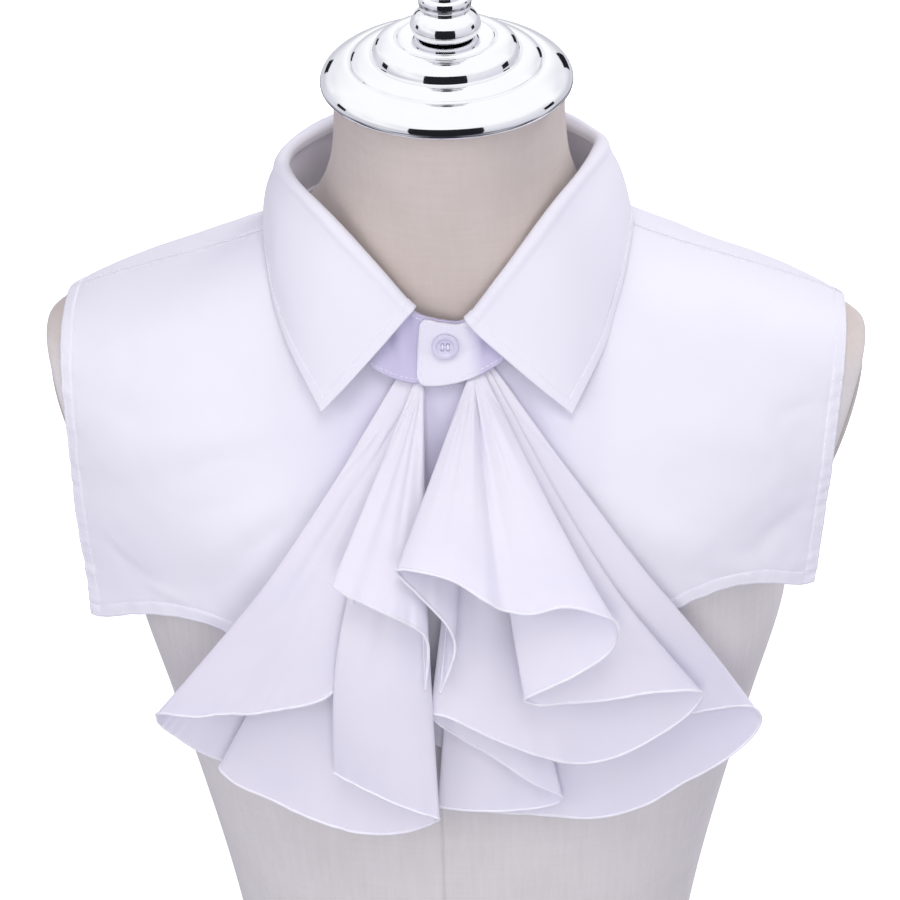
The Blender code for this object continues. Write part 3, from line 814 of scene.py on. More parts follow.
@dataclass(frozen=True)
class FormCover:
    """The form's linen cover: a plain weave with upright streaks and sewn seams."""

    name: str = "form_cover"
    colour: Colour = (0.76, 0.74, 0.735)
    shade: Colour = (0.62, 0.595, 0.58)
    neck_colour: Colour = (0.725, 0.665, 0.625)
    neck_shade: Colour = (0.57, 0.495, 0.45)
    thread: float = 0.8
    relief: float = 0.12
    streak_waves: float = 300.0
    streak_stretch: Place = (1.0, 1.0, 0.03)
    cross_waves: float = 420.0
    cross_stretch: Place = (0.08, 0.08, 1.0)
    patch_waves: float = 11.0
    seam: float = -4.8
    seam_half_width: float = 0.45
    seam_soft: Pair = (0.4, 2.2)
    seam_depth: float = 2.5
    seam_top: float = 400.0
    neck_blend: float = 30.0

    def make(self) -> Material:
        """Makes the material.

        The cover's seams are bands about the planes x = seam and y = 0, which darken the cloth
        and sink it. Streaks are a noise stretched along Z, and are fainter on the neck, which is
        a warmer tone and has no seams.

        Returns:
            The material.
        """
        shader = Shader(self.name)
        places = shader.object_places()
        x, y, z = shader.split(places)
        streak = shader.noise(places, self.streak_waves, self.streak_stretch, 5.0, 0.7)
        cross = shader.noise(places, self.cross_waves, self.cross_stretch)
        patches = shader.noise(places, self.patch_waves).between(0.3, 0.7)
        turns = 2 * math.pi / (self.thread * MM)
        threads = ((x + y) * turns).sine() * 0.25 + (z * turns).sine() * 0.25 + 0.5
        edge = [self.seam_half_width * soft * MM for soft in self.seam_soft]
        centre = 1 - (x - self.seam * MM).size().between(*edge)
        sides = 1 - y.size().between(*edge)
        low = 1 - z.between(self.seam_top * MM, (self.seam_top + self.neck_blend) * MM)
        seams = (centre + sides) * low
        worn = (streak - 0.5) * (low * 0.55 + 0.35)
        tone = (patches * 0.3 + worn + (cross - 0.5) * 0.35 + (1 - threads) * 0.12
                + seams * 0.45 + (1 - low) * 0.35)
        height = threads * 0.5 + streak * 0.6 - seams * self.seam_depth
        surface = shader.principled(
            Base_Color=shader.mix(low, shader.mix(tone, self.neck_colour, self.neck_shade),
                                  shader.mix(tone, self.colour, self.shade)),
            Roughness=0.88, Sheen_Weight=0.2, Sheen_Roughness=0.5, Specular_IOR_Level=0.2,
            Normal=shader.bump(height, self.relief * MM))
        return shader.close(surface)


@dataclass(frozen=True)
class Polished:
    """Bright plated metal with the faintest unevenness of a polish."""

    name: str = "polished_metal"
    colour: Colour = (0.90, 0.90, 0.92)
    dull: Colour = (0.84, 0.85, 0.88)
    haze_waves: float = 60.0
    ripple_waves: float = 35.0
    ripple_depth: float = 0.25
    roughness: float = 0.045
    haze_roughness: float = 0.03

    def make(self) -> Material:
        """Makes the material: one slow noise dims the shine a little, another ripples it.

        Returns:
            The material.
        """
        shader = Shader(self.name)
        places = shader.object_places()
        haze = shader.noise(places, self.haze_waves, detail=4.0)
        ripple = shader.noise(places, self.ripple_waves, detail=1.0)
        surface = shader.principled(
            Base_Color=shader.mix(haze, self.colour, self.dull), Metallic=1.0,
            Roughness=haze * self.haze_roughness + self.roughness,
            Normal=shader.bump(ripple, self.ripple_depth * MM))
        return shader.close(surface)


@dataclass(frozen=True)
class Moulded:
    """A hard moulded finish with a soft gloss and a faint cloudy tone."""

    name: str
    colour: Colour
    shade: Colour
    roughness: float = 0.32
    coat: float = 0.3
    cloud_waves: float = 160.0
    grain_waves: float = 900.0
    grain_depth: float = 0.02
    grain_roughness: float = 0.12

    def make(self) -> Material:
        """Makes the material: a cloud pattern between two tones, and a thin clear coat.

        Returns:
            The material.
        """
        shader = Shader(self.name)
        places = shader.object_places()
        cloud = shader.noise(places, self.cloud_waves).between(0.35, 0.65)
        grain = shader.noise(places, self.grain_waves, detail=2.0)
        surface = shader.principled(
            Base_Color=shader.mix(cloud, self.colour, self.shade),
            Roughness=grain * self.grain_roughness + self.roughness,
            Coat_Weight=self.coat, Coat_Roughness=0.15,
            Normal=shader.bump(grain, self.grain_depth * MM))
        return shader.close(surface)


@dataclass(frozen=True)
class Finishes:
    """Every finish of the object, made once."""

    cover: Material
    plate: Material
    metal: Material
    shirting: Material
    collar: Material
    stand: Material
    chiffon: Material
    hem: Material
    thread: Material
    button: Material

    @classmethod
    def made(cls) -> "Finishes":
        """Makes all the finishes.

        The darker lilac on the shirting and on the stand is painted shade at the throat, where the
        collar's fall and the ruffles' heads shade the cloth.

        Returns:
            The finishes.
        """
        return cls(
            cover=FormCover().make(),
            plate=Weave("arm_plate_cover", (0.60, 0.57, 0.54), (0.47, 0.45, 0.43), thread=0.8,
                        relief=0.08, slub=0.8, roughness=0.85).make(),
            metal=Polished().make(),
            # the lilac near the throat is painted shade, where the collar and the ruffles shade the
            # shirt
            shirting=Weave("white_shirting", (0.85, 0.85, 0.91), (0.80, 0.80, 0.88),
                           painted_shade_at=(0.0, -0.085, 0.405), painted_shade_reach=(0.015, 0.095),
                           painted_shade_colour=(0.64, 0.61, 0.79), painted_shade_share=0.75).make(),
            collar=Weave("white_collar_cloth", (0.825, 0.825, 0.89), (0.775, 0.775, 0.86),
                         relief=0.03).make(),
            # painted shadow: the stand darkens to lilac past the tab, where the fall shades it; its
            # base colours, darker than the collar's, are painted shade as well
            stand=Weave("stand_cloth", (0.79, 0.785, 0.87), (0.74, 0.735, 0.84), relief=0.03,
                        painted_shade_at=(0.0, -0.07, 0.445), painted_shade_reach=(0.028, 0.055),
                        painted_shade_from=(0.022, 0.034), painted_shade_colour=(0.56, 0.53, 0.72)).make(),
            chiffon=Weave("lilac_white_chiffon", (0.945, 0.935, 0.99), (0.88, 0.865, 0.975),
                          thread=0.42, relief=0.03, sheen=0.35, patch_waves=14.0,
                          show_through=0.07, glow=0.14, glow_colour=(0.82, 0.78, 1.0)).make(),
            hem=Weave("rolled_hem_thread", (0.92, 0.92, 0.975), (0.86, 0.86, 0.95), thread=0.7,
                      relief=0.12, roughness=0.6).make(),
            thread=Moulded("sewing_thread", (0.90, 0.90, 0.96), (0.84, 0.84, 0.93),
                           roughness=0.55, coat=0.0).make(),
            # the button is white; its darker lilac colours are painted shade, the fall's shade over
            # the stand
            button=Moulded("white_button", (0.68, 0.665, 0.82), (0.62, 0.605, 0.77)).make(),
        )


# Dress form

FORM_LEVELS = Table("level half_width front back squareness", (
    (0, 123, 92, 86, 2.15), (35, 126, 94, 87, 2.15), (75, 132, 97, 88, 2.15),
    (140, 145, 102, 91, 2.10), (205, 160, 107, 95, 2.05), (260, 173, 111, 99, 1.98),
    (300, 178, 111, 101, 1.92), (335, 202, 106, 101, 1.88), (370, 222, 94, 97, 1.90),
    (398, 222, 82, 90, 1.95), (418, 211, 72, 82, 2), (432, 191, 66, 76, 2), (446, 157, 61, 70, 2),
    (460, 119, 59, 65, 2), (474, 87, 59.5, 60, 2), (490, 70.5, 61, 53, 2),
    (510, 60.5, 63.5, 47, 2), (532, 57, 67, 43, 2), (561, 56.5, 71.5, 41.5, 2),
))


@dataclass(frozen=True)
class FormShape:
    """The form's own surface, and how cloth hangs from it."""

    levels: Table = FORM_LEVELS
    top: float = 561.0
    neck_root: float = 500.0
    arm_level: float = 410.0
    arm_reach: float = 206.0
    arm_tilt: float = math.radians(18.0)
    arm_foot: float = 177.0
    ridge_foot: float = 400.0
    reach_step: float = 2.0
    reach_top: float = 480.0
    reach_foot: float = 150.0
    no_reach: float = -100.0
    last_cell: float = 1.001
    profile_steps: int = 420
    ridge_step: float = 0.1

    def width(self, level: Any) -> Array:
        """Half the form's width at a level, before the arms are cut off."""
        return self.levels.at("half_width", level)

    def depth(self, x: Any, level: Any, sign: int) -> Array:
        """Depth of the surface at a place across and a level.

        A section is a curve |x / w|^n + |y / d|^n = 1, with w, d and n read from the levels.

        Args:
            x: The distance from the centre.
            level: The level.
            sign: -1 for the front and 1 for the back.

        Returns:
            The depth, below 0 at the front.
        """
        reach = self.levels.at("front" if sign < 0 else "back", level)
        power = self.levels.at("squareness", level)
        share = np.clip(np.abs(x) / self.width(level), 0.0, 1.0)
        return sign * reach * (1.0 - share**power) ** (1.0 / power)

    def arm_plane(self, level: Any) -> Array:
        """Distance from the centre at which the arm is cut off at a level."""
        slanted = self.arm_reach - (self.arm_level - np.asarray(level)) * math.tan(self.arm_tilt)
        return np.maximum(self.arm_foot, slanted)

    def ridge(self, x: float) -> float:
        """The highest level at which the form is as wide as x."""
        level = np.arange(self.ridge_foot, self.top, self.ridge_step)
        return float(level[self.width(level) >= abs(x)][-1])

    def profile(self, x: float) -> tuple[Array, int]:
        """Cuts the form at a distance from the centre.

        Args:
            x: The distance across.

        Returns:
            Depth and level of each point from the foot of the back over the top to the foot of
            the front, and the number of the point at the top.
        """
        top = self.ridge(x)
        drop = (top - self.reach_foot) * np.linspace(0.0, 1.0, self.profile_steps) ** 2
        level = top - drop
        front = np.stack([self.depth(x, level, -1), level], axis=1)
        back = np.stack([self.depth(x, level, 1), level], axis=1)
        return np.concatenate([back[::-1], front[1:]]), len(level) - 1

    def level_at(self, x: float, y: float) -> float:
        """Level of the form's surface under a place, below the neck.

        Args:
            x: The place across.
            y: Its depth.

        Returns:
            The level, read along the profile that is cut at x.
        """
        profile, top = self.profile(x)
        half = profile[:top + 1][::-1] if y > profile[top, 0] else profile[top:]
        low = half[half[:, 1] < self.neck_root]
        reach = np.maximum.accumulate(np.abs(low[:, 0]))
        return float(np.interp(abs(y), reach, low[:, 1]))

    def hung_reach(self, x: Array, level: Array, sign: int) -> Array:
        """How far out cloth hangs at a place: the form's furthest reach at or above it.

        Args:
            x: Places across.
            level: Their levels.
            sign: -1 for the front and 1 for the back.

        Returns:
            The reach, read in a straight line between the points of a table.
        """
        across = np.arange(0.0, self.arm_reach, self.reach_step)
        down = np.arange(self.reach_top, self.reach_foot, -self.reach_step)
        reach = sign * self.depth(across[None, :], down[:, None], sign)
        reach = np.where(self.width(down)[:, None] > across[None, :], reach, self.no_reach)
        reach = np.maximum.accumulate(reach, axis=0)
        column = np.clip(np.abs(x) / self.reach_step, 0.0, len(across) - self.last_cell)
        row = np.clip((self.reach_top - level) / self.reach_step, 0.0,
                      len(down) - self.last_cell)
        left, high = column.astype(int), row.astype(int)
        part, drop = column - left, row - high
        upper = reach[high, left] * (1 - part) + reach[high, left + 1] * part
        lower = reach[high + 1, left] * (1 - part) + reach[high + 1, left + 1] * part
        return upper * (1 - drop) + lower * drop


@dataclass(frozen=True)
class DressForm:
    """The covered torso with its arm plates, and the turned cap and finial on its neck."""

    finish: Finishes
    shape: FormShape = FormShape()
    spans: int = 288
    low_rings: int = 90
    high_rings: int = 170
    high_from: float = 380.0
    edge_round: float = 1.6
    plate_level: float = 366.0
    plate_half: Pair = (34.0, 42.0)
    plate_thickness: float = 3.0
    plate_gap: float = 0.8
    plate_steps: int = 120
    plate_profile: tuple[Pair, ...] = (
        (0.01, 1), (0.93, 1), (0.985, 0.72), (1, 0), (0.985, -0.72), (0.93, -1), (0.01, -1))
    cap_y: float = -15.0
    cap_steps: int = 192
    cap_profile: tuple[Pair, ...] = (
        (0.3, 588.2), (16, 588.2), (21.6, 588), (23.4, 587.4), (23.9, 586.3), (24.4, 586.3),
        (24.9, 587.1), (28, 586.9), (31.6, 585.7), (34.2, 583.6), (35.5, 580.8), (35.9, 579.2),
        (36.4, 578.6), (37, 579.2), (40, 578.9), (43.4, 577.9), (45.8, 576.3), (46.5, 575),
        (47, 574.5), (47.5, 575.2), (51, 574.6), (56, 572.2), (59.6, 569), (61.2, 565.6),
        (60.6, 562.8), (58, 561.4), (0.3, 561.4))
    finial_profile: tuple[Pair, ...] = (
        (0.3, 644), (6, 643.4), (11.2, 640.2), (13.2, 634.4), (11.6, 628.6), (7.4, 625),
        (6.8, 621.2), (11.9, 618.2), (12.6, 614.2), (9.4, 611.4), (9.4, 610.4), (12.8, 608.4),
        (12.6, 603.2), (11, 601.6), (15.2, 598.8), (17.4, 593.6), (15.8, 589.8), (13.8, 588.8),
        (0.3, 588.8))

    def cover_points(self) -> Array:
        """Rings of the cover: the form's sections, cut soft-edged at the arms.

        A section's point at angle a is (w c, d s), where c and s are cos a and sin a raised to
        2 / n with their signs. The cut is the soft least of x and the arm plane.

        Returns:
            The points, by ring and step.
        """
        level = np.concatenate([np.linspace(0, self.high_from, self.low_rings, endpoint=False),
                                np.linspace(self.high_from, self.shape.top, self.high_rings)])
        level = level[:, None]
        angle = full_turn(self.spans)[None, :]
        power = 2 / self.shape.levels.at("squareness", level)
        side, depth = np.cos(angle), np.sin(angle)
        x = self.shape.width(level) * np.sign(side) * np.abs(side) ** power
        front, back = (self.shape.levels.at(name, level) for name in ("front", "back"))
        y = np.where(depth < 0, front, back) * np.sign(depth) * np.abs(depth) ** power
        over = (np.abs(x) - self.shape.arm_plane(level)) / self.edge_round
        cut = np.abs(x) - self.edge_round * np.logaddexp(0.0, over)
        return np.stack([np.sign(x) * np.maximum(cut, 0.0), y, np.broadcast_to(level, x.shape)],
                        axis=-1)

    def plate(self, side: Side) -> Piece:
        """Makes the oval plate over the end of one arm.

        It is turned about the line square to the slanted arm plane, just clear of it.

        Args:
            side: The side of the form.

        Returns:
            The new piece.
        """
        sign, half = side.value, self.plate_thickness / 2
        profile = rounded([(out, rise * half) for out, rise in self.plate_profile], 2)
        lean = sign * self.shape.arm_tilt
        out = np.array([math.cos(lean), 0.0, -math.sin(lean)]) * sign
        up = np.array([math.sin(lean), 0.0, math.cos(lean)])
        reach = float(self.shape.arm_plane(self.plate_level))
        middle = (np.array([sign * reach, 0.0, self.plate_level])
                  + out * (self.plate_gap + half))
        place = placed_frame(up, np.cross(out, up), out, middle)
        return lathe(f"arm_plate_{side.word}_cover", profile, place, self.finish.plate,
                     self.plate_steps, self.plate_half[::-1], mapped=True)

    def build(self) -> None:
        """Makes the form's pieces, each in place of its solid."""
        cover = ringed_piece("form_cover", self.cover_points(), self.finish.cover)
        stand_for(cover, "torso_form")
        for side in Side:
            stand_for(self.plate(side), f"arm_plate_{side.word}")
        centre = np.eye(4)
        centre[1, 3] = self.cap_y
        for name, profile, node in (("polished_cap", self.cap_profile, "neck_cap"),
                                    ("polished_finial", self.finial_profile, "finial")):
            piece = lathe(name, rounded(profile, 2), centre, self.finish.metal, self.cap_steps)
            stand_for(piece, node)


def stand_for(piece: Piece, node: str) -> None:
    """Shows a piece in place of a solid.

    Args:
        piece: The piece.
        node: The solid's node.
    """
    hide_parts(node)
    LOG.info("%s stands for %s", piece.name, node)


def adorn(piece: Piece) -> Piece:
    """Logs a piece that stands for no solid.

    Args:
        piece: The piece.

    Returns:
        The same piece.
    """
    LOG.info("%s is added", piece.name)
    return piece


# Neck seam and collar

FOLD_LINE = Table("angle across depth left_level right_level", (
    (0, 0, -67, 460, 460), (11, 13, -66, 465.5, 460.5), (22, 29, -62, 484, 481),
    (34, 44, -55, 499, 499), (48, 58, -43, 509.5, 512.5), (62, 69, -27, 513, 519),
    (76, 76, -9, 511.5, 519.5), (90, 78.5, 5, 509, 518), (110, 74, 21, 510, 516),
    (140, 50, 46, 512.5, 515), (180, 0, 57, 515, 515), (220, -50, 46, 512.5, 515),
))
FALL_EDGE = Table("angle across depth left_level right_level", (
    (11, 61, -81, 416.5, 415), (48, 79, -58, 447, 447), (78, 88, -30, 468, 470),
    (90, 90.5, -8, 472, 474), (110, 87, 24, 472, 474), (140, 62, 56, 470, 470),
    (180, 0, 75, 465, 465), (220, -62, 56, 470, 470),
))
STAND_WRINKLES = Table("angle lean width depth", (
    (13, 7, 2.4, 1.2), (18, 9, 2, -1), (24, 12, 2.8, 1.4), (32, 12, 2.4, -1.2), (351, -6, 2.2, -1),
    (346, -9, 2.2, 1.3), (340.5, -12, 2.4, -1.2), (334, -13, 2.8, 1.4), (325, -12, 2.4, -1),
))


@dataclass(frozen=True)
class NeckShape:
    """The neck seam, and the places of the collar round it."""

    form: FormShape = FormShape()
    twist: float = math.radians(2.0)
    collar_shift: float = -4.8
    fall_shift: float = -1.8
    seam_half_width: float = 79.0
    seam_front: float = 68.5
    seam_back: float = 59.0
    foot_out: float = 1.8
    foot_rise: float = 4.0
    lap_step: float = 2.5
    lap_from: float = 20.0
    lap_to: float = 55.0

    def turned(self, x: Array, y: Array, shift: float) -> tuple[Array, Array]:
        """A place of the garment, turned with it on the form and moved aside."""
        cos, sin = math.cos(self.twist), math.sin(self.twist)
        return x * cos - y * sin + shift, x * sin + y * cos

    def seam(self, angle: Any) -> Array:
        """The neck seam: an oval seen from above, which lies on the form.

        Args:
            angle: Angles in degrees from the centre front.

        Returns:
            The seam's points there.
        """
        around = np.radians(np.asarray(angle, float))
        depth = np.where(np.cos(around) > 0, self.seam_front, self.seam_back)
        x, y = self.turned(self.seam_half_width * np.sin(around), -depth * np.cos(around),
                           self.collar_shift)
        level = [self.form.level_at(*place) for place in zip(x, y)]
        return np.stack([x, y, level], axis=-1)

    def placed(self, sizes: Table, angle: Array, shift: float) -> Array:
        """Places of the collar by angle.

        Args:
            sizes: Where they lie on the right, with a level for each side.
            angle: Angles in degrees, below 0 on the left.
            shift: How far they are moved aside.

        Returns:
            The places.
        """
        size = np.abs(angle)
        across = np.sign(angle) * sizes.at("across", size)
        x, y = self.turned(across, sizes.at("depth", size), shift)
        left, right = sizes.at("left_level", size), sizes.at("right_level", size)
        return np.stack([x, y, np.where(angle < 0, left, right)], axis=-1)

    def out(self, angle: Any) -> Array:
        """The level direction that points out of the collar at an angle."""
        around = np.radians(np.asarray(angle, float)) + self.twist
        return np.stack([np.sin(around), -np.cos(around), np.zeros_like(around)], axis=-1)

    def foot(self, angle: Any) -> Array:
        """The foot of the collar stand, just clear of the neck seam."""
        rise = UP * self.foot_rise
        return self.seam(angle) + self.out(angle) * self.foot_out + rise

    def lap(self, angle: Array) -> Array:
        """How far the collar is lifted where its upper end laps over the other."""
        return self.lap_step * (1.0 - smooth_step(angle, self.lap_from, self.lap_to))

    def on_stand(self, angle: float, share: float, away: float) -> tuple[Array, Array]:
        """A place over the stand.

        Args:
            angle: The place's angle.
            share: Its share of the stand's height.
            away: Its distance from the stand's middle.

        Returns:
            The place and the way the stand faces there.
        """
        base = self.foot([angle])[0]
        rise = self.placed(FOLD_LINE, np.array([angle]), self.collar_shift)[0] - base
        facing = unit(np.cross(np.cross(UP, self.out(angle)), rise))
        return base + rise * share + facing * away, facing


def wrapped(angle: Array) -> Array:
    """Angles brought to between -180 and 180 degrees."""
    return (angle + 180.0) % 360.0 - 180.0


@dataclass(frozen=True)
class Collar:
    """The collar: a stand that buttons at the front, and the fall that turns down over it."""

    finish: Finishes
    neck: NeckShape = NeckShape()
    stand_start: float = -8.0
    stand_end: float = 373.0
    stand_rows: Spread = (26, (0.12, 8), (0.12, 8))
    stand_columns: Spread = (300, (0.03, 16), (0.03, 16))
    stand_keys: int = 420
    stand_wall: float = 2.0
    stand_height: float = 27.0
    stand_corner: float = 4.5
    corner_share: float = 0.05
    corner_turn: float = 0.8
    stand_drop: float = 0.02
    stand_flare: Pair = (5.8, 7.6)
    flare_top: float = 0.45
    flare_bend: float = 1.6
    flare_fade: Pair = (20.0, 42.0)
    under_from: Pair = (350.0, 358.0)
    under_flare: float = 0.7
    crumple: float = 0.28
    wrinkle_middle: float = 0.4
    stand_inset: float = 2.2
    stand_top_inset: float = 2.0
    stand_flat: Pair = (0.51, 0.039)
    fall_start: float = 11.0
    fall_columns: Spread = (330, (0.02, 14), (0.02, 14))
    fall_rows: Spread = (60, (0.22, 26), (0.12, 16))
    fall_clear: float = 6.5
    fall_roll: tuple[Pair, ...] = (
        (-1.35, -4), (-1.3, 0.4), (-0.2, 1.6), (1.4, 1.7), (2.7, 0.9), (3.9, -3))
    fall_bulge: float = 2.4
    fall_shares: tuple[float, ...] = (0.3, 0.65, 1.0)
    fall_wall: float = 1.0
    fall_inset: float = 5.0
    fall_pad: float = 0.32
    fall_groove: float = 0.14
    fall_wave: float = 0.35
    fall_flat: Pair = (0.47, 0.075)
    roll_out: float = 1.4
    roll_rise: float = 2.2
    roll_radius: float = 1.5

    def stand_grid(self) -> Array:
        """The stand's inner face, from its upper end at the button to the end that goes under.

        A point is the foot of the stand at its angle, raised a share of the way to the fold line.
        The angle of both end columns draws back near the corners, which rounds them. At the front
        the foot flares out over the ruffles' gathers, and wrinkles stand beside the button.

        Returns:
            The points, from the foot up.
        """
        share = crowded(*self.stand_rows)[:, None] * (1 + self.stand_drop) - self.stand_drop
        start = crowded(*self.stand_columns)[None, :]
        even = self.stand_start + (self.stand_end - self.stand_start) * start
        middle = 0.5 - self.stand_drop / 2
        reach = (1 + self.stand_drop) * self.stand_height / 2
        near = np.clip((np.abs(share - middle) * self.stand_height - (reach - self.stand_corner))
                       / self.stand_corner, 0.0, 1.0)
        draw = self.stand_corner * self.corner_turn * (1 - np.sqrt(np.clip(1 - near**2, 0, 1)))
        angle = (even + draw * (1 - start / self.corner_share).clip(0, 1)
                 - draw * (1 - (1 - start) / self.corner_share).clip(0, 1))
        key = np.linspace(self.stand_start - 1, self.stand_end + 1, self.stand_keys)
        base = read_line(key, self.neck.foot(wrapped(key)), angle)
        fold = self.neck.placed(FOLD_LINE, wrapped(key), self.neck.collar_shift)
        grid = base + (read_line(key, fold, angle) - base) * share[..., None]
        crumple = wander(angle * 1.2, share * 24, 34.0, 5) * self.crumple
        shift = self.neck.lap(angle) - self.stand_wall / 2 + crumple * smooth_step(angle, 20, 45)
        front = 1 - smooth_step(np.abs(wrapped(angle)), *self.flare_fade)
        under = 1 - self.under_flare * smooth_step(angle, *self.under_from)
        low = np.clip((self.flare_top - share) / self.flare_top, 0.0, None) ** self.flare_bend
        shift = shift + np.where(angle < 180.0, *self.stand_flare) * front * under * low
        for place, lean, width, depth in STAND_WRINKLES.rows:
            off = wrapped(angle - place) - lean * (share - self.wrinkle_middle)
            shift = (shift + depth * bell(off, width)
                     * np.sin(math.pi * share.clip(0, 1)) ** 0.7)
        return grid + self.neck.out(wrapped(even[0]))[None] * shift[..., None]

    def fall_grid(self) -> Array:
        """The fall, from one front edge round the back to the other.

        Its rows are a smooth curve through the roll over the top of the stand and down to the
        outer edge, which lies over the shoulders and runs forwards to a point at each front.

        Returns:
            The points, from inside the fold down to the edge.
        """
        share = crowded(*self.fall_columns)
        angle = self.fall_start + (360.0 - 2 * self.fall_start) * share
        around = wrapped(angle)
        out = self.neck.out(around)
        top = (self.neck.placed(FOLD_LINE, around, self.neck.collar_shift)
               + out * self.neck.lap(angle)[:, None])
        lift = unit(np.cross(out, np.gradient(top, axis=0)))
        edge = self.fall_edge(around)
        rows = [top + lift * up + out * away for away, up in self.fall_roll]
        last = rows[-1]
        for part in self.fall_shares:
            bulge = self.fall_bulge * math.sin(math.pi * part)
            rows.append(last * (1 - part) + edge * part + out * bulge)
        control = np.stack(rows)
        steps = np.linalg.norm(np.diff(control, axis=0), axis=2).mean(axis=1)
        key = np.concatenate([[0.0], np.cumsum(steps)])
        return cubic(key, control, key[-1] * crowded(*self.fall_rows))[:, ::-1]

    def fall_edge(self, angle: Array) -> Array:
        """The fall's outer edge, which lies on the shirt round the back and over the shoulders.

        Args:
            angle: Angles in degrees from the centre front.

        Returns:
            The edge's points there.
        """
        edge = self.neck.placed(FALL_EDGE, angle, self.neck.fall_shift)
        shirt = [self.neck.form.level_at(x, y) + self.fall_clear for x, y, _ in edge]
        edge[:, 2] = np.maximum(edge[:, 2], shirt)
        return edge

    def dressed_fall(self) -> Array:
        """The fall with the thicker band outside its stitching, the stitching's groove and waves.

        Returns:
            The wall's face under the outer side.
        """
        fall = self.fall_grid()
        near = np.minimum.reduce([run_from(fall, edge) for edge in
                                  (Edge.BOTTOM, Edge.START, Edge.END)])
        pad = 1 - smooth_step(near, self.fall_inset - 0.5, self.fall_inset + 0.7)
        groove = bell(near - self.fall_inset - 0.4, 0.5)
        across = flat_places(fall)
        soft = wander(across[..., 0], across[..., 1], 70.0, 11) * self.fall_wave
        height = self.fall_pad * pad - self.fall_groove * groove + soft * smooth_step(near, 4, 22)
        return moved_out(fall, height[..., None])

    def build_stand(self) -> None:
        """Makes the stand with its stitching."""
        seams = ((Edge.BOTTOM, self.stand_inset), (Edge.TOP, self.stand_top_inset),
                 (Edge.START, self.stand_inset), (Edge.END, self.stand_inset))
        piece, sewn = sewn_cloth("collar_stand", self.stand_grid(), self.stand_wall, seams,
                                 self.finish.stand, self.finish.thread)
        stand_for(piece, "collar_stand")
        adorn(sewn)

    def build_roll(self) -> None:
        """Makes the roll of the neck seam under the stand."""
        around = np.linspace(-178.0, 180.0, 240)
        out = self.neck.out(around)
        line = self.neck.seam(around) + out * self.roll_out + UP * self.roll_rise
        roll = tube("neck_seam_roll", line, unit(out + UP), self.roll_radius,
                    self.finish.shirting, 12)
        adorn(roll)

    def build_fall(self) -> None:
        """Makes the fall with its stitching."""
        seams = [(edge, self.fall_inset) for edge in (Edge.BOTTOM, Edge.START, Edge.END)]
        piece, sewn = sewn_cloth("collar_fall", self.dressed_fall(), self.fall_wall, seams,
                                 self.finish.collar, self.finish.thread)
        stand_for(piece, "collar_fall")
        adorn(sewn)

    def build(self) -> None:
        """Makes the stand, the seam's roll and the fall."""
        self.build_stand()
        self.build_roll()
        self.build_fall()


@dataclass(frozen=True)
class NeckButton:
    """The four-hole button on the stand, sewn on with two bars of thread.

    The face, the rim and the underside have distances out as shares of the radius, and heights
    as shares of the thickness.
    """

    finish: Finishes
    neck: NeckShape = NeckShape()
    stand_half: float = 1.0
    radius: float = 6.6
    thickness: float = 2.4
    face: float = 0.68
    rim: Pair = (0.58, 0.72)
    rim_rise: float = 0.32
    rim_round: float = 0.14
    rim_drop: float = 0.5
    face_reach: Pair = (0.01, 0.985)
    face_rings: int = 70
    under: tuple[Pair, ...] = ((1.0, 0.6), (1.0, 0.3), (0.97, 0.12), (0.8, 0.0))
    under_middle: float = 0.01
    steps: int = 120
    hole_radius: float = 0.95
    hole_soft: Pair = (0.82, 1.08)
    hole_floor: float = 0.5
    hole_reach: float = 1.9
    thread_radius: float = 0.42
    thread_climb: float = 1.1
    thread_sunk: float = 0.5
    angle: float = 2.0
    rise: float = 0.60
    gap: float = 0.3

    def profile_height(self, out: Array) -> Array:
        """Height of the button's face: a sunk centre, a raised rim and a rounded edge.

        Args:
            out: Distances from its middle.

        Returns:
            The height over the button's back.
        """
        r, t = self.radius, self.thickness
        rim = smooth_step(out, self.rim[0] * r, self.rim[1] * r) * self.rim_rise * t
        edge = np.clip((out - (1 - self.rim_round) * r) / (self.rim_round * r), 0.0, 1.0)
        fall = (1 - np.sqrt(1 - np.minimum(edge, 0.999) ** 2)) * self.rim_drop * t
        return self.face * t + rim - fall

    def build(self) -> None:
        """Makes the button with four sunk holes, and its thread.

        Rings run from the middle of the face over the edge to the middle of the underside. A hole
        is sunk where a point is near a corner of the square that the four holes make.
        """
        away = self.neck.lap_step + self.stand_half + self.gap
        centre, facing = self.neck.on_stand(self.angle, self.rise, away)
        side = unit(np.cross(UP, facing))
        up = np.cross(facing, side)
        under_out, under_height = np.array(self.under).T
        out = np.concatenate([np.linspace(*self.face_reach, self.face_rings) * self.radius,
                              under_out * self.radius, [self.under_middle]])
        turn = full_turn(self.steps)
        x, y = out[:, None] * np.cos(turn), out[:, None] * np.sin(turn)
        height = np.broadcast_to(self.profile_height(out)[:, None], x.shape).copy()
        height[self.face_rings:] = np.append(under_height, 0.0)[:, None] * self.thickness
        reach = self.hole_reach / math.sqrt(2)
        corner = np.hypot(np.abs(x) - reach, np.abs(y) - reach)
        well = 1 - smooth_step(corner, *(self.hole_radius * soft for soft in self.hole_soft))
        top = slice(self.face_rings)
        height[top] -= (well * (self.face * self.thickness - self.hole_floor))[top]
        points = centre + x[..., None] * side + y[..., None] * up + height[..., None] * facing
        piece = ringed_piece("sewn_button", points, self.finish.button, flipped=True)
        stand_for(piece, "neck_button")
        t = np.linspace(0, 1, 24)[:, None]
        climb = np.sin(math.pi * t) ** 0.5 * self.thread_climb - self.thread_sunk
        for number, across in enumerate((-reach, reach)):
            line = (centre + side * across + up * ((t - 0.5) * 2 * reach)
                    + facing * (self.face * self.thickness + climb))
            bar = tube(f"button_thread_{number + 1}", line, np.broadcast_to(side, line.shape),
                       self.thread_radius, self.finish.thread, 8)
            adorn(bar)


# Shirt

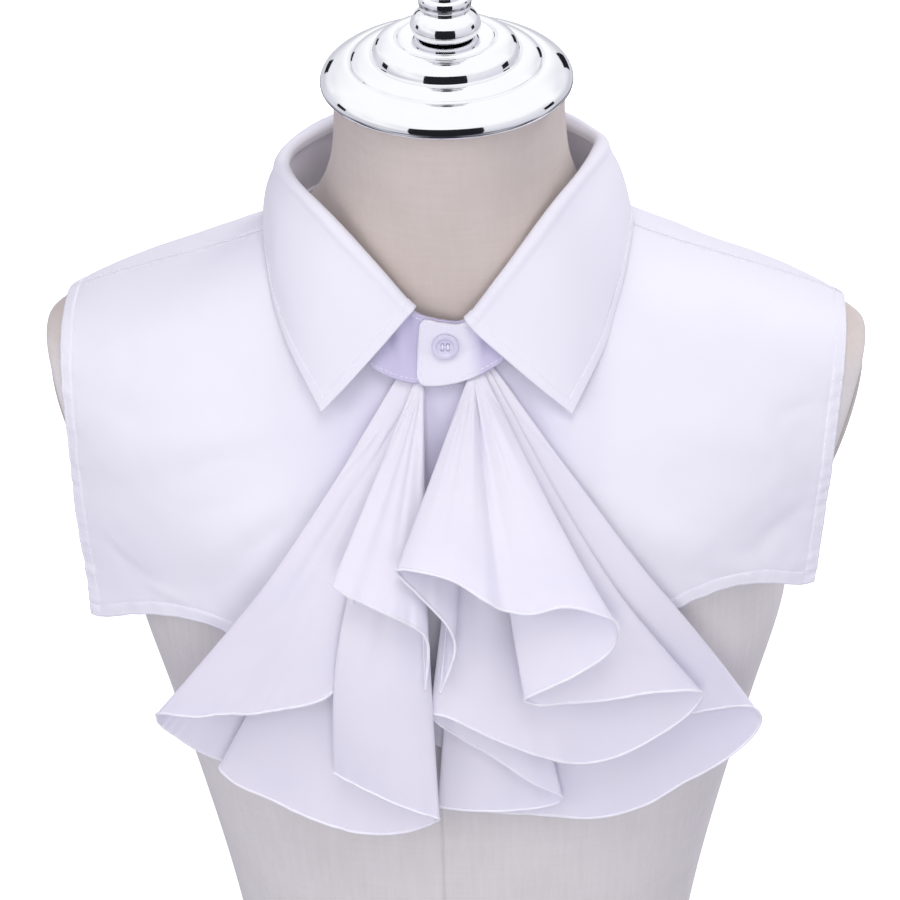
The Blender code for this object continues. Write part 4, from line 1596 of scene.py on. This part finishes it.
FRONT_HEM = Table("from_centre left_level right_level", (
    (0, 234, 234), (60, 262, 274), (123, 288, 309), (163, 281, 309), (191, 268, 299),
))
BACK_HEM = Table("from_centre left_level right_level", (
    (-120, 268, 276), (0, 262, 262), (120, 268, 276), (191, 262, 280),
))
FRONT_CREASES = Table("x0 z0 x1 z1 width depth", (
    (-60, 402, -150, 330, 16, -1.6), (-52, 372, -118, 300, 13, -2.2),
    (-88, 400, -172, 366, 10, 1.9), (-72, 374, -132, 318, 9, 1.5), (-176, 322, -146, 296, 5, -1.3),
    (-166, 305, -128, 299, 3.5, 0.9), (-184, 405, -140, 396, 7, -0.7),
    (-120, 440, -176, 424, 8, 1.3), (-150, 396, -186, 352, 7, 1.2), (70, 404, 140, 338, 17, -1.7),
    (92, 420, 172, 386, 11, 1.8), (84, 376, 146, 326, 9, 1.5), (150, 404, 180, 366, 7, 1.1),
    (58, 378, 104, 320, 13, -1.9), (178, 350, 150, 322, 7, -1.2), (184, 402, 158, 398, 4, -0.7),
    (128, 330, 168, 318, 8, 0.8), (-46, 430, -66, 396, 4, 0.9), (-38, 428, -52, 398, 3.5, -1),
    (-56, 436, -80, 408, 4.5, -0.8), (44, 430, 66, 398, 4, 0.9), (36, 428, 54, 400, 3.5, -1),
    (56, 436, 82, 410, 4.5, -0.8), (-2, 428, 14, 405, 4, 0.8), (-6, 418, 12, 398, 3.5, -0.9),
))
BACK_CREASES = Table("x0 z0 x1 z1 width depth", (
    (-70, 420, -140, 330, 18, -1.4), (-30, 425, -50, 290, 12, 2.2), (24, 430, 40, 290, 17, -1.4),
    (66, 415, 150, 335, 12, 2.1), (-96, 428, -168, 372, 10, 1.8), (2, 436, -8, 330, 9, 1.4),
    (96, 360, 120, 290, 9, 1.6), (150, 330, 120, 296, 8, -1.2), (-168, 322, -140, 292, 7, 1.1),
))
CREASE_BEND = 0.06
CREASE_LEVEL = 0.08
CREASE_FADE = 1.5
CREASE_SPREAD = (0.7, 0.6)


def crease_height(creases: Table, x: Array, z: Array) -> Array:
    """Height of soft creases.

    Each is a bell across its line, which bends a little, widens along the line and fades to both
    of its ends.

    Args:
        creases: A row for each crease: its two ends, its width and its depth.
        x: Places across.
        z: Their levels.

    Returns:
        The summed height.
    """
    total = np.zeros_like(x)
    for x0, z0, x1, z1, width, depth in creases.rows:
        dx, dz = x1 - x0, z1 - z0
        length = math.hypot(dx, dz)
        along = ((x - x0) * dx + (z - z0) * dz) / length**2
        bend = CREASE_BEND * length * np.sin(math.pi * np.clip(along, 0, 1))
        off = ((x - x0) * dz - (z - z0) * dx) / length - bend
        inner = along * (1 - 2 * CREASE_LEVEL) + CREASE_LEVEL
        fade = np.sin(math.pi * np.clip(inner, 0.0, 1.0)) ** CREASE_FADE
        spread = width * (CREASE_SPREAD[0] + CREASE_SPREAD[1] * np.clip(along, 0, 1))
        total = total + depth * fade * bell(off, spread)
    return total


def eased(grid: Array, reach: int, share: Array) -> Array:
    """A grid whose points are drawn towards the mean of their neighbours along the row.

    Args:
        grid: The points.
        reach: How many neighbours either way count, less the further off they are.
        share: How far each row is drawn, from 0 to 1.

    Returns:
        The points.
    """
    window = np.hanning(2 * reach + 3)[1:-1]
    window /= window.sum()
    wide = np.pad(grid, ((0, 0), (reach, reach), (0, 0)), mode="reflect", reflect_type="odd")
    soft = sum(weight * wide[:, start:start + grid.shape[1]]
               for start, weight in enumerate(window))
    return grid + (soft - grid) * share[:, None, None]


def evened(grid: Array, share: Array) -> Array:
    """A grid whose points on each row lie at the given shares of the row's own length."""
    runs = [run_of(row) for row in grid]
    return np.stack([read_line(run, row, share * run[-1]) for run, row in zip(runs, grid)])


@dataclass(frozen=True)
class Shirt:
    """The sleeveless shirt front: two fronts, the right lapped over, and the back."""

    finish: Finishes
    neck: NeckShape = NeckShape()
    skin_gap: float = 1.9
    seam_gap: float = 0.3
    wall: float = 0.9
    lap_angle: float = 9.5
    lap_step: float = 1.8
    lap_from: float = 16.0
    lap_to: float = 44.0
    neck_columns: int = 62
    shoulder_columns: Spread = (54, (0.0, 0), (0.06, 12))
    even_columns: Spread = (108, (0.0, 0), (0.03, 14))
    rows: Spread = (112, (0.03, 8), (0.06, 16))
    edge_top: float = 196.0
    edge_hem: Pair = (189.0, 184.0)
    lean_from: float = 120.0
    lean_drop: Pair = (0.05, 0.45)
    lean_clear: float = 0.5
    ease_reach: int = 5
    ease_drop: Pair = (0.04, 0.3)
    shoulder_back: float = 0.10
    least_step: float = 0.12
    free_from: Pair = (6.0, 40.0)
    wave: Pair = (95.0, 0.45)
    ripple: Pair = (26.0, 0.10)
    deepest: float = -1.3
    hem_width: float = 7.0
    hem_pad: float = 0.5
    hem_groove: float = 0.3
    hem_pucker: float = 0.34
    arm_hem_width: float = 6.0
    arm_pad: float = 0.45
    arm_groove: float = 0.25
    arm_pucker: float = 0.32
    groove_width: float = 0.9
    band_soft: Pair = (0.4, 0.8)
    edge_inset: float = 1.2
    top_inset: float = 2.2
    front_flat: Pair = (0.23, 0.24)
    back_flat: Pair = (0.42, 0.26)

    def column(self, start: Array, hem: float, sign: int, rows: Array) -> Array:
        """One run of a panel, from a point on the form down to its hem.

        The run follows the form's profile but never comes back in below the foremost place that
        it reaches, as cloth hangs.

        Args:
            start: The point where it begins.
            hem: The level at which it ends.
            sign: -1 for a front and 1 for the back.
            rows: The share of the run at each row.

        Returns:
            The run's points.
        """
        profile, _ = self.neck.form.profile(start[0])
        if sign > 0:
            profile = profile[::-1]
        begin = int(np.argmin(np.linalg.norm(profile - start[1:], axis=1)))
        line = np.concatenate([[start[1:]], profile[begin + 1:]])
        line[:, 0] = sign * np.maximum.accumulate(sign * line[:, 0])
        line = line[:int(np.argmax(line[:, 1] <= hem)) + 1]
        line[-1, 1] = hem
        run = run_of(line)
        places = read_line(run, line, self.seam_gap + (run[-1] - self.seam_gap) * rows)
        return np.column_stack([np.full(len(places), start[0]), places])

    def starts(self, side: Side, sign: int, first_angle: float) -> Array:
        """Where the runs of half a panel begin: along the neck seam, then over the shoulder.

        Args:
            side: The side of the garment.
            sign: -1 for a front and 1 for the back.
            first_angle: The angle of the neck seam where it begins.

        Returns:
            The points, which move outwards by a least step each.
        """
        flip = side.value
        angles = np.linspace(first_angle, 90.0, self.neck_columns)
        seam = self.neck.seam(flip * (angles if sign < 0 else 180.0 - angles))
        step = self.least_step * np.arange(len(seam))
        seam[:, 0] = flip * (np.maximum.accumulate(flip * seam[:, 0] - step) + step)
        share = crowded(*self.shoulder_columns)[1:]
        x = seam[-1, 0] + (flip * self.edge_top - seam[-1, 0]) * share
        y = seam[-1, 1] + np.abs(x - seam[-1, 0]) * self.shoulder_back
        level = [self.neck.form.level_at(*place) for place in zip(x, y)]
        return np.concatenate([seam, np.stack([x, y, level], axis=-1)])

    def half(self, side: Side, sign: int, first_angle: float) -> Array:
        """One half of a panel, from an angle of the neck seam by the centre out to its edge.

        Its runs lean in towards the hem near the armhole, and the cloth there is held out as far
        as the form reaches above it.

        Args:
            side: The side of the garment.
            sign: -1 for a front and 1 for the back.
            first_angle: The angle where it begins.

        Returns:
            The points, from the neck and shoulder down to the hem.
        """
        starts = self.starts(side, sign, first_angle)
        hems = FRONT_HEM if sign < 0 else BACK_HEM
        hem = hems.at(f"{side.word}_level", np.abs(starts[:, 0]))
        rows = crowded(*self.rows)
        grid = np.stack([self.column(start, low, sign, rows) for start, low in zip(starts, hem)],
                        axis=1)
        edge_hem = self.edge_hem[0 if side is Side.LEFT else 1]
        lean = (self.edge_top - edge_hem) * smooth_step(np.abs(grid[..., 0]), self.lean_from,
                                                        self.edge_top)
        drop = (grid[:1, :, 2] - grid[..., 2]) / (grid[:1, :, 2] - grid[-1:, :, 2])
        grid[..., 0] -= side.value * lean * drop
        reach = self.neck.form.hung_reach(grid[..., 0], grid[..., 2], sign) + self.lean_clear
        lift = np.maximum(reach - sign * grid[..., 1], 0.0)
        grid[..., 1] += sign * lift * smooth_step(drop, *self.lean_drop)
        even = evened(grid, crowded(*self.even_columns))
        return eased(even, self.ease_reach, smooth_step(rows, *self.ease_drop))

    def band(self, distance: Array, width: float) -> Array:
        """1 within a hem's width of its edge and 0 past it, with a soft step at the stitching."""
        return 1 - smooth_step(distance, width - self.band_soft[0], width + self.band_soft[1])

    def dressed(self, grid: Array, over: Any, creases: Table, arms: Sequence[Edge],
                seed: int) -> Array:
        """Lays a panel off the form and gives it creases, hems and puckers.

        Args:
            grid: The panel on the form's surface.
            over: How far more it lies off, where it laps.
            creases: Its creases.
            arms: The edges at its armholes.
            seed: Picks its faint unevenness.

        Returns:
            The wall's inner face.
        """
        to_hem = run_from(grid, Edge.BOTTOM)
        x, z = grid[..., 0], grid[..., 2]
        free = smooth_step(run_from(grid, Edge.TOP), *self.free_from)
        height = crease_height(creases, x, z) * free
        for number, (size, depth) in enumerate((self.wave, self.ripple)):
            height = height + wander(x, z, size, seed + number) * depth * free
        pucker = wander(x, z * 0.25, 13.0, seed + 2) * self.hem_pucker
        hem = self.band(to_hem, self.hem_width)
        height = height + self.hem_pad * hem
        height = height - self.hem_groove * bell(to_hem - self.hem_width - 0.3, self.groove_width)
        height = height + pucker * bell(to_hem - self.hem_width * 0.6, self.hem_width)
        for edge in arms:
            to_arm = run_from(grid, edge)
            pucker = wander(x * 0.25, z, 12.0, seed + 3) * self.arm_pucker
            height = height + self.arm_pad * self.band(to_arm, self.arm_hem_width) * (1 - hem)
            height = height - self.arm_groove * bell(to_arm - self.arm_hem_width - 0.3,
                                                     self.groove_width)
            height = height + pucker * bell(to_arm - self.arm_hem_width * 0.5,
                                            self.arm_hem_width)
        height = np.maximum(height, self.deepest)
        return moved_out(grid, (self.skin_gap + over + height)[..., None])

    def build_panel(self, name: str, node: str, grid: Array, arms: Sequence[Edge]) -> None:
        """Makes a panel with its stitches: along its hem, its armholes and its top.

        Args:
            name: The start of its pieces' names.
            node: The solid that it stands for.
            grid: The wall's inner face.
            arms: The edges at its armholes.
        """
        seams = [(Edge.BOTTOM, self.hem_width), (Edge.BOTTOM, self.edge_inset)]
        for edge in arms:
            seams += [(edge, self.arm_hem_width), (edge, self.edge_inset)]
        seams.append((Edge.TOP, self.top_inset))
        piece, sewn = sewn_cloth(name, grid, self.wall, seams, self.finish.shirting,
                                 self.finish.thread)
        stand_for(piece, node)
        adorn(sewn)

    def build(self) -> None:
        """Makes the two fronts and the back."""
        for side, over in ((Side.LEFT, 0.0), (Side.RIGHT, self.lap_step)):
            grid, arm = self.half(side, -1, -self.lap_angle), Edge.END
            if side is Side.RIGHT:
                grid, arm = grid[:, ::-1], Edge.START
            near = 1.0 - smooth_step(side.value * grid[..., 0], self.lap_from, self.lap_to)
            grid = self.dressed(grid, over * near, FRONT_CREASES, [arm], 20 + side.value)
            self.build_panel(f"front_{side.word}", f"front_panel_{side.word}", grid, [arm])
        left, right = (self.half(side, 1, 0.0) for side in Side)
        back = np.concatenate([left[:, ::-1], right[:, 1:]], axis=1)
        arms = [Edge.START, Edge.END]
        back = self.dressed(back, 0.0, BACK_CREASES, arms, 40)
        self.build_panel("back", "back_panel", back, arms)


# Jabot

RUFFLE_LEFT = Table("across proud level sway belly", (
    (-8, 29, 295.5), (-6.5, 34, 327), (-16, 39.5, 339), (-26, 42.5, 345), (-37, 42, 349),
    (-45, 43.5, 353), (-50, 42.5, 355.5), (-48, 36, 351), (-44.5, 28, 344), (-43, 23, 332),
    (-44.5, 20, 310), (-51, 20.5, 291), (-57.5, 23.5, 282), (-67, 26, 276.5), (-84, 27.5, 269.5),
    (-98, 30, 264), (-112, 28.5, 258.5), (-130, 31, 252), (-146, 30.5, 247.5), (-151, 24, 237.5),
    (-146, 13, 221.5), (-126, 6, 208.5), (-88, 4.5, 208.5), (-83, 8, 209.5), (-108, 11, 211.5),
    (-120, 14, 210.5), (-112, 17.5, 205.5), (-92, 17, 200.5), (-69, 17, 194.5), (-46, 17, 191),
    (-20, 17, 195.5), (-6, 19, 204.5, 0, 1), (-4, 22, 209, 0, 4), (-15, 24.5, 215, -1, 8),
    (-32, 25.5, 223, -4, 11), (-50, 25.5, 231.5, -10, 12), (-56, 24, 233.5, -12, 12),
    (-54, 21.5, 231, -12, 10), (-44, 20.5, 226, -8, 9),
))
RUFFLE_RIGHT = Table("across proud level sway belly", (
    (-1, 25.5, 291), (7, 31, 323), (-10, 39.5, 353), (-18, 43, 362.5), (-20, 47.5, 368.5),
    (-10, 52, 371), (8, 53.5, 367.5), (22, 52.5, 358.5), (33, 48.5, 350.5), (45, 49.5, 349),
    (58, 50.5, 352), (77, 47.5, 345), (86, 43.5, 335), (83, 39.5, 319), (66, 36.5, 305.5),
    (52, 34.5, 298), (41, 31.5, 290.5), (48, 28, 284), (62, 26, 281.5), (80, 26, 279.5),
    (107, 28.5, 279.5), (122, 28.5, 276), (129, 25, 268.5), (121, 21.5, 255), (103, 20, 243.5),
    (83, 18.5, 236), (66, 18.5, 236.5), (50, 19, 243.5), (22, 20.5, 260.5), (4, 20.5, 272),
    (-7, 16.5, 271), (3, 12.5, 257.5), (22, 12.5, 243), (46, 12.5, 221), (58, 11, 211),
    (55, 8, 204), (40, 7, 201.5), (14, 7.5, 202.5), (-5, 5.5, 203.5), (-2, 3, 202), (14, 2.5, 199),
    (44, 3, 194.5), (83, 4, 187), (103, 4.5, 190), (120, 5, 198.5, 2), (139, 6, 206, 5),
    (153, 6.5, 215.5, 8), (160, 10, 230, 9), (152, 14, 245, 9), (136, 15.5, 250, 6),
    (120, 16, 252, 1), (112, 16, 254),
))
GATHER_PLEATS = Table("slope width depth", (
    (-0.95, 0.060, 0.8), (-0.66, 0.055, -0.9), (-0.40, 0.060, 0.9), (-0.17, 0.040, -0.9),
    (0.04, 0.060, 1.2), (0.18, 0.040, -1.9), (0.30, 0.050, 1), (0.46, 0.050, -0.9),
    (0.68, 0.070, 0.8), (0.92, 0.070, -0.7),
))


@dataclass(frozen=True)
class Ruffle:
    """One strip of chiffon, gathered at the foot of the stand, with a rolled hem."""

    finish: Finishes
    side: Side
    turns: Table
    apex: float
    gather_across: float
    flat: Pair
    cut_area: float
    neck: NeckShape = NeckShape()
    rows: Spread = (60, (0.0, 0), (0.04, 10))
    row_power: float = 1.2
    steps: int = 620
    path_weights: Place = (1.0, 4.5, 0.7)
    gather_rise: float = 0.2
    gather_out: float = 1.6
    gather_deep: float = 0.5
    top_clear: float = 5.0
    shirt_clear: float = 6.3
    clear_by: float = 0.12
    wall: float = 0.5
    pleat_depth: float = 1.6
    pleats_in: Pair = (0.02, 0.2)
    pleats_out: Pair = (0.5, 1.02)
    least_drop: float = 6.0
    hem_radius: float = 0.85
    end_hem_share: float = 0.8
    hem_beat: float = 0.07
    hem_crinkle: float = 0.35
    crinkle_from: float = 0.88

    def hem_path(self) -> Array:
        """The hem: a smooth curve through the turns, with its points spread by the distance run.

        A step front to back counts for more than one across, which puts more points in the turns.

        Returns:
            The columns of the table, for each point.
        """
        rows = np.stack(list(self.turns.columns.values()), axis=1)
        key = run_of(rows[:, :3] * self.path_weights)
        return cubic(key, rows, np.linspace(0.0, key[-1], self.steps))

    def uneven(self, size: float, seed: int) -> Array:
        """A soft uneven height along the hem, by the number of the point."""
        number = np.arange(float(self.steps))
        return wander(number, np.zeros(self.steps), size, seed)

    def grid(self) -> Array:
        """The ruffle from its gathers to its hem.

        Place across, distance in front of the shirt and level each run straight from the gathers
        to the hem, and half a sine wave of sway and belly is added between. The gathers lie just
        under the foot of the stand. Their distance goes by the square root of the hem's, which
        keeps the layers in order. Soft pleats fan from the gathers, alike on every layer.

        Returns:
            The points.
        """
        across, proud, level, sway, belly = self.hem_path().T
        down = crowded(*self.rows)[:, None] ** self.row_power
        between = np.sin(math.pi * down)
        head = self.apex + (across - self.apex) * self.gather_across
        foot = self.neck.foot(np.linspace(-30.0, 30.0, 61))
        head_level = np.interp(head, foot[:, 0], foot[:, 2]) + self.gather_rise
        head_depth = np.interp(head, foot[:, 0], foot[:, 1]) - self.gather_out
        x = head * (1 - down) + across * down + sway * between
        z = head_level * (1 - down) + level * down
        gathered = self.gather_deep * (np.sqrt(proud) - np.sqrt(proud.min()))
        stand = gathered * (1 - down) + proud * down + belly * between
        clear = self.top_clear + (self.shirt_clear - self.top_clear) * smooth_step(
            down, 0.0, self.clear_by)
        hung = -self.neck.form.hung_reach(x, z, -1) - clear
        slope = (x - self.apex) / np.maximum(head_level - z, self.least_drop)
        fan = np.zeros_like(x)
        for place, width, depth in GATHER_PLEATS.rows:
            fan = fan + depth * bell(slope - place, width)
        reach = smooth_step(down, *self.pleats_in) * (1 - smooth_step(down, *self.pleats_out))
        crinkle = (self.uneven(16.0, 8) * self.hem_crinkle
                   * smooth_step(down, self.crinkle_from, 1.0))
        y = np.minimum(hung, head_depth) - stand - fan * reach * self.pleat_depth - crinkle
        return np.stack([x, y, z + crinkle * 0.5], axis=-1)

    def build(self) -> None:
        """Makes the ruffle and its rolled hem."""
        grid = self.grid()
        name = f"ruffle_{self.side.word}"
        piece = cloth_piece(f"{name}_cloth", grid, self.wall, self.finish.chiffon, side=0.0)
        stand_for(piece, f"jabot_ruffle_{self.side.word}")
        facing = normals(grid)
        thick = self.hem_radius * (1 + self.uneven(9.0, 3) * self.hem_beat)
        hems = [tube(f"{name}_rolled_hem", grid[-1], facing[-1], thick, self.finish.hem)]
        for number, column in enumerate((0, -1)):
            hems.append(tube(f"{name}_end_hem_{number + 1}", grid[:, column], facing[:, column],
                             self.hem_radius * self.end_hem_share, self.finish.hem))
        [adorn(hem) for hem in hems]
        LOG.info("%s: hem %.0f mm", name, run_of(grid[-1])[-1])


# Studio

@dataclass(frozen=True)
class Studio:
    """The plain floor, the soft lights and the camera.

    Its places and sizes are in metres, except the camera's place and the lens in mm.
    """

    camera_place: Place = (96.67, -1432.11, 1273.84)
    pitch: float = math.radians(33.0)
    azimuth: float = math.radians(4.0)
    roll: float = math.radians(1.3)
    lens: float = 131.2
    sensor: float = 36.0
    floor_half: float = 30.0
    floor_colour: Colour = (0.96, 0.96, 0.965)
    floor_shade: Colour = (0.95, 0.95, 0.955)
    floor_glow: float = 0.6
    world_light: float = 0.585
    world_shine: float = 1.12
    world_colour: Colour = (0.875, 0.85, 1.0)
    mirror_above: Colour = (1.0, 1.0, 1.0)
    mirror_side: Colour = (0.74, 0.74, 0.80)
    mirror_horizon: Colour = (0.60, 0.60, 0.65)
    mirror_below: Colour = (0.03, 0.03, 0.04)
    lamp_colour: Colour = (1.0, 0.985, 0.935)
    lamps: tuple[tuple[str, Place, float, float, float], ...] = (
        ("overhead", (0.1, -1.0, 2.5), 0.4, 1.0, 14.0),
        ("front_box", (0.0, -2.3, 1.9), 0.35, 1.4, 5.0),
        ("low_box", (0.2, -2.3, 0.6), 0.3, 1.0, 11.5),
        ("left_box", (-1.8, -1.7, 1.5), 0.4, 1.2, 9.5),
        ("right_box", (2.1, -1.3, 1.4), 0.4, 1.2, 3.5),
        ("back_box", (1.7, 1.8, 1.9), 0.4, 0.8, 30.0))
    gap_colour: Colour = (0.01, 0.01, 0.015)
    gap_reach: float = 2.3
    gap_aim: float = 0.58
    gaps: Table = Table("azimuth level half_width half_height", (
        (2, 0.72, 1.45, 1.24), (-100, 0.75, 0.24, 0.26), (102, 0.75, 0.28, 0.28),
        (158, 0.70, 0.22, 0.30), (-150, 0.70, 0.18, 0.20),
    ))

    def camera(self) -> None:
        """Sets the camera at the picture's angle, with its right side a little raised."""
        p, a, r = self.pitch, self.azimuth, self.roll
        ahead = np.array([-math.sin(a) * math.cos(p), math.cos(a) * math.cos(p), -math.sin(p)])
        right = np.array([math.cos(a), math.sin(a), 0.0])
        up = np.cross(right, ahead)
        right, up = (math.cos(r) * right - math.sin(r) * up,
                     math.cos(r) * up + math.sin(r) * right)
        data = bpy.data.cameras.new("camera")
        data.lens = self.lens
        data.sensor_width = self.sensor
        place = placed_frame(right, up, -ahead, np.array(self.camera_place) * MM)
        camera = staged_object("camera", data, place)
        bpy.context.scene.camera = camera

    def floor(self) -> None:
        """Lays the plain pale floor."""
        half = self.floor_half
        corners = [(-half, -half, 0), (half, -half, 0), (half, half, 0), (-half, half, 0)]
        shader = Shader("pale_floor")
        grain = shader.noise(shader.object_places(), 3.0)
        surface = shader.principled(
            Base_Color=shader.mix(grain, self.floor_colour, self.floor_shade), Roughness=0.9,
            Specular_IOR_Level=0.1, Emission_Color=(1.0, 1.0, 1.0),
            Emission_Strength=self.floor_glow)
        floor = panel("floor", corners, shader.close(surface))
        floor.visible_diffuse = False
        floor.visible_glossy = False

    def lamp(self, name: str, place: Place, aim: float, size: float, power: float) -> None:
        """Adds a soft square light, which polished metal doesn't mirror.

        Args:
            name: The light's name.
            place: Where it is, in metres.
            aim: The level on the form's axis that it points at, in metres.
            size: Its side, in metres.
            power: Its power, in watts.
        """
        data = bpy.data.lights.new(name, "AREA")
        data.size = size
        data.energy = power
        data.color = self.lamp_colour
        ahead = unit(UP * aim - np.array(place))
        right = unit(np.cross(ahead, UP))
        turn = placed_frame(right, np.cross(right, ahead), -ahead, place)
        staged_object(name, data, turn).visible_glossy = False

    def gap(self, name: str, place: Place, half: Sequence[float]) -> None:
        """Hangs a dark panel that only bright metal sees, as a gap between studio lights.

        Args:
            name: The panel's name.
            place: Its middle, in metres, from which it faces the form.
            half: Half its width and height, in metres.
        """
        centre = np.array(place)
        ahead = unit(UP * self.gap_aim - centre)
        right = unit(np.cross(ahead, UP))
        up = np.cross(right, ahead)
        corners = [tuple(centre + right * x * half[0] + up * y * half[1])
                   for x, y in ((-1, -1), (1, -1), (1, 1), (-1, 1))]
        shader = Shader(name)
        dark = shader.close(shader.principled(Base_Color=self.gap_colour, Roughness=1.0))
        piece = panel(name, corners, dark)
        piece.visible_camera = False
        piece.visible_diffuse = False
        piece.visible_shadow = False
        piece.visible_transmission = False

    def surroundings(self) -> None:
        """Sets even pale surroundings, and what polished metal mirrors in their place.

        The metal sees white above, pale grey at the horizon and dark below it, with soft
        uneven patches.
        """
        world = bpy.data.worlds.new("white_studio")
        shader = Shader("white_studio", world)
        way = shader.node("ShaderNodeTexCoord", output="Generated")
        across, _, up = shader.split(way)
        side = across.size().between(0.12, 0.45) * up.between(0.75, 0.3)
        patches = shader.noise(way, 1.6, detail=1.0).between(0.3, 0.7)
        mirrored = shader.mix(up.between(-0.42, -0.30), self.mirror_below, self.mirror_horizon)
        mirrored = shader.mix(up.between(-0.05, 0.32), mirrored, self.mirror_above)
        mirrored = shader.mix(side * patches * 0.8, mirrored, self.mirror_side)
        glossy = shader.node("ShaderNodeLightPath", output="Is Glossy Ray")
        light = shader.mix(glossy, self.world_colour, mirrored)
        strength = glossy * (self.world_shine - self.world_light) + self.world_light
        shader.close(shader.node("ShaderNodeBackground", None,
                                 {"Color": light, "Strength": strength}))
        bpy.context.scene.world = world

    def build(self) -> None:
        """Sets up the camera, the floor, the surroundings, the lights and the gaps between."""
        self.camera()
        self.floor()
        self.surroundings()
        for lamp in self.lamps:
            self.lamp(*lamp)
        for number, (azimuth, level, *half) in enumerate(self.gaps.rows):
            turn = math.radians(azimuth)
            place = (self.gap_reach * math.sin(turn), -self.gap_reach * math.cos(turn), level)
            self.gap(f"studio_gap_{number + 1}", place, half)


def staged_object(name: str, data: Any, place: Array) -> Piece:
    """Puts a camera or a light into the scene.

    Args:
        name: The object's name.
        data: The camera or light.
        place: The 4 by 4 array that places it.

    Returns:
        The new object.
    """
    made = linked(name, data)
    made.matrix_world = Matrix(place.tolist())
    return made


def panel(name: str, corners: Sequence[Place], material: Material) -> Piece:
    """Makes a flat panel of the studio.

    Args:
        name: The panel's name.
        corners: Its four corners, in metres.
        material: Its finish.

    Returns:
        The new panel.
    """
    mesh = bpy.data.meshes.new(name)
    mesh.from_pydata(corners, [], [(0, 1, 2, 3)])
    mesh.materials.append(material)
    return linked(name, mesh)


def main() -> None:
    """Builds the studio and every piece."""
    logging.basicConfig(level=logging.INFO, format="%(name)s: %(message)s")
    bpy.context.scene.view_settings.view_transform = "Standard"
    Studio().build()
    finish = Finishes.made()
    form = FormShape()
    neck = NeckShape(form)
    DressForm(finish, form).build()
    Shirt(finish, neck).build()
    Collar(finish, neck).build()
    NeckButton(finish, neck).build()
    Ruffle(finish, Side.LEFT, RUFFLE_LEFT, apex=-11.0, gather_across=0.08, flat=(0.60, 0.24),
           cut_area=0.058, neck=neck).build()
    Ruffle(finish, Side.RIGHT, RUFFLE_RIGHT, apex=14.0, gather_across=0.05, flat=(0.92, 0.25),
           cut_area=0.082, neck=neck).build()


if __name__ == "__main__":
    main()
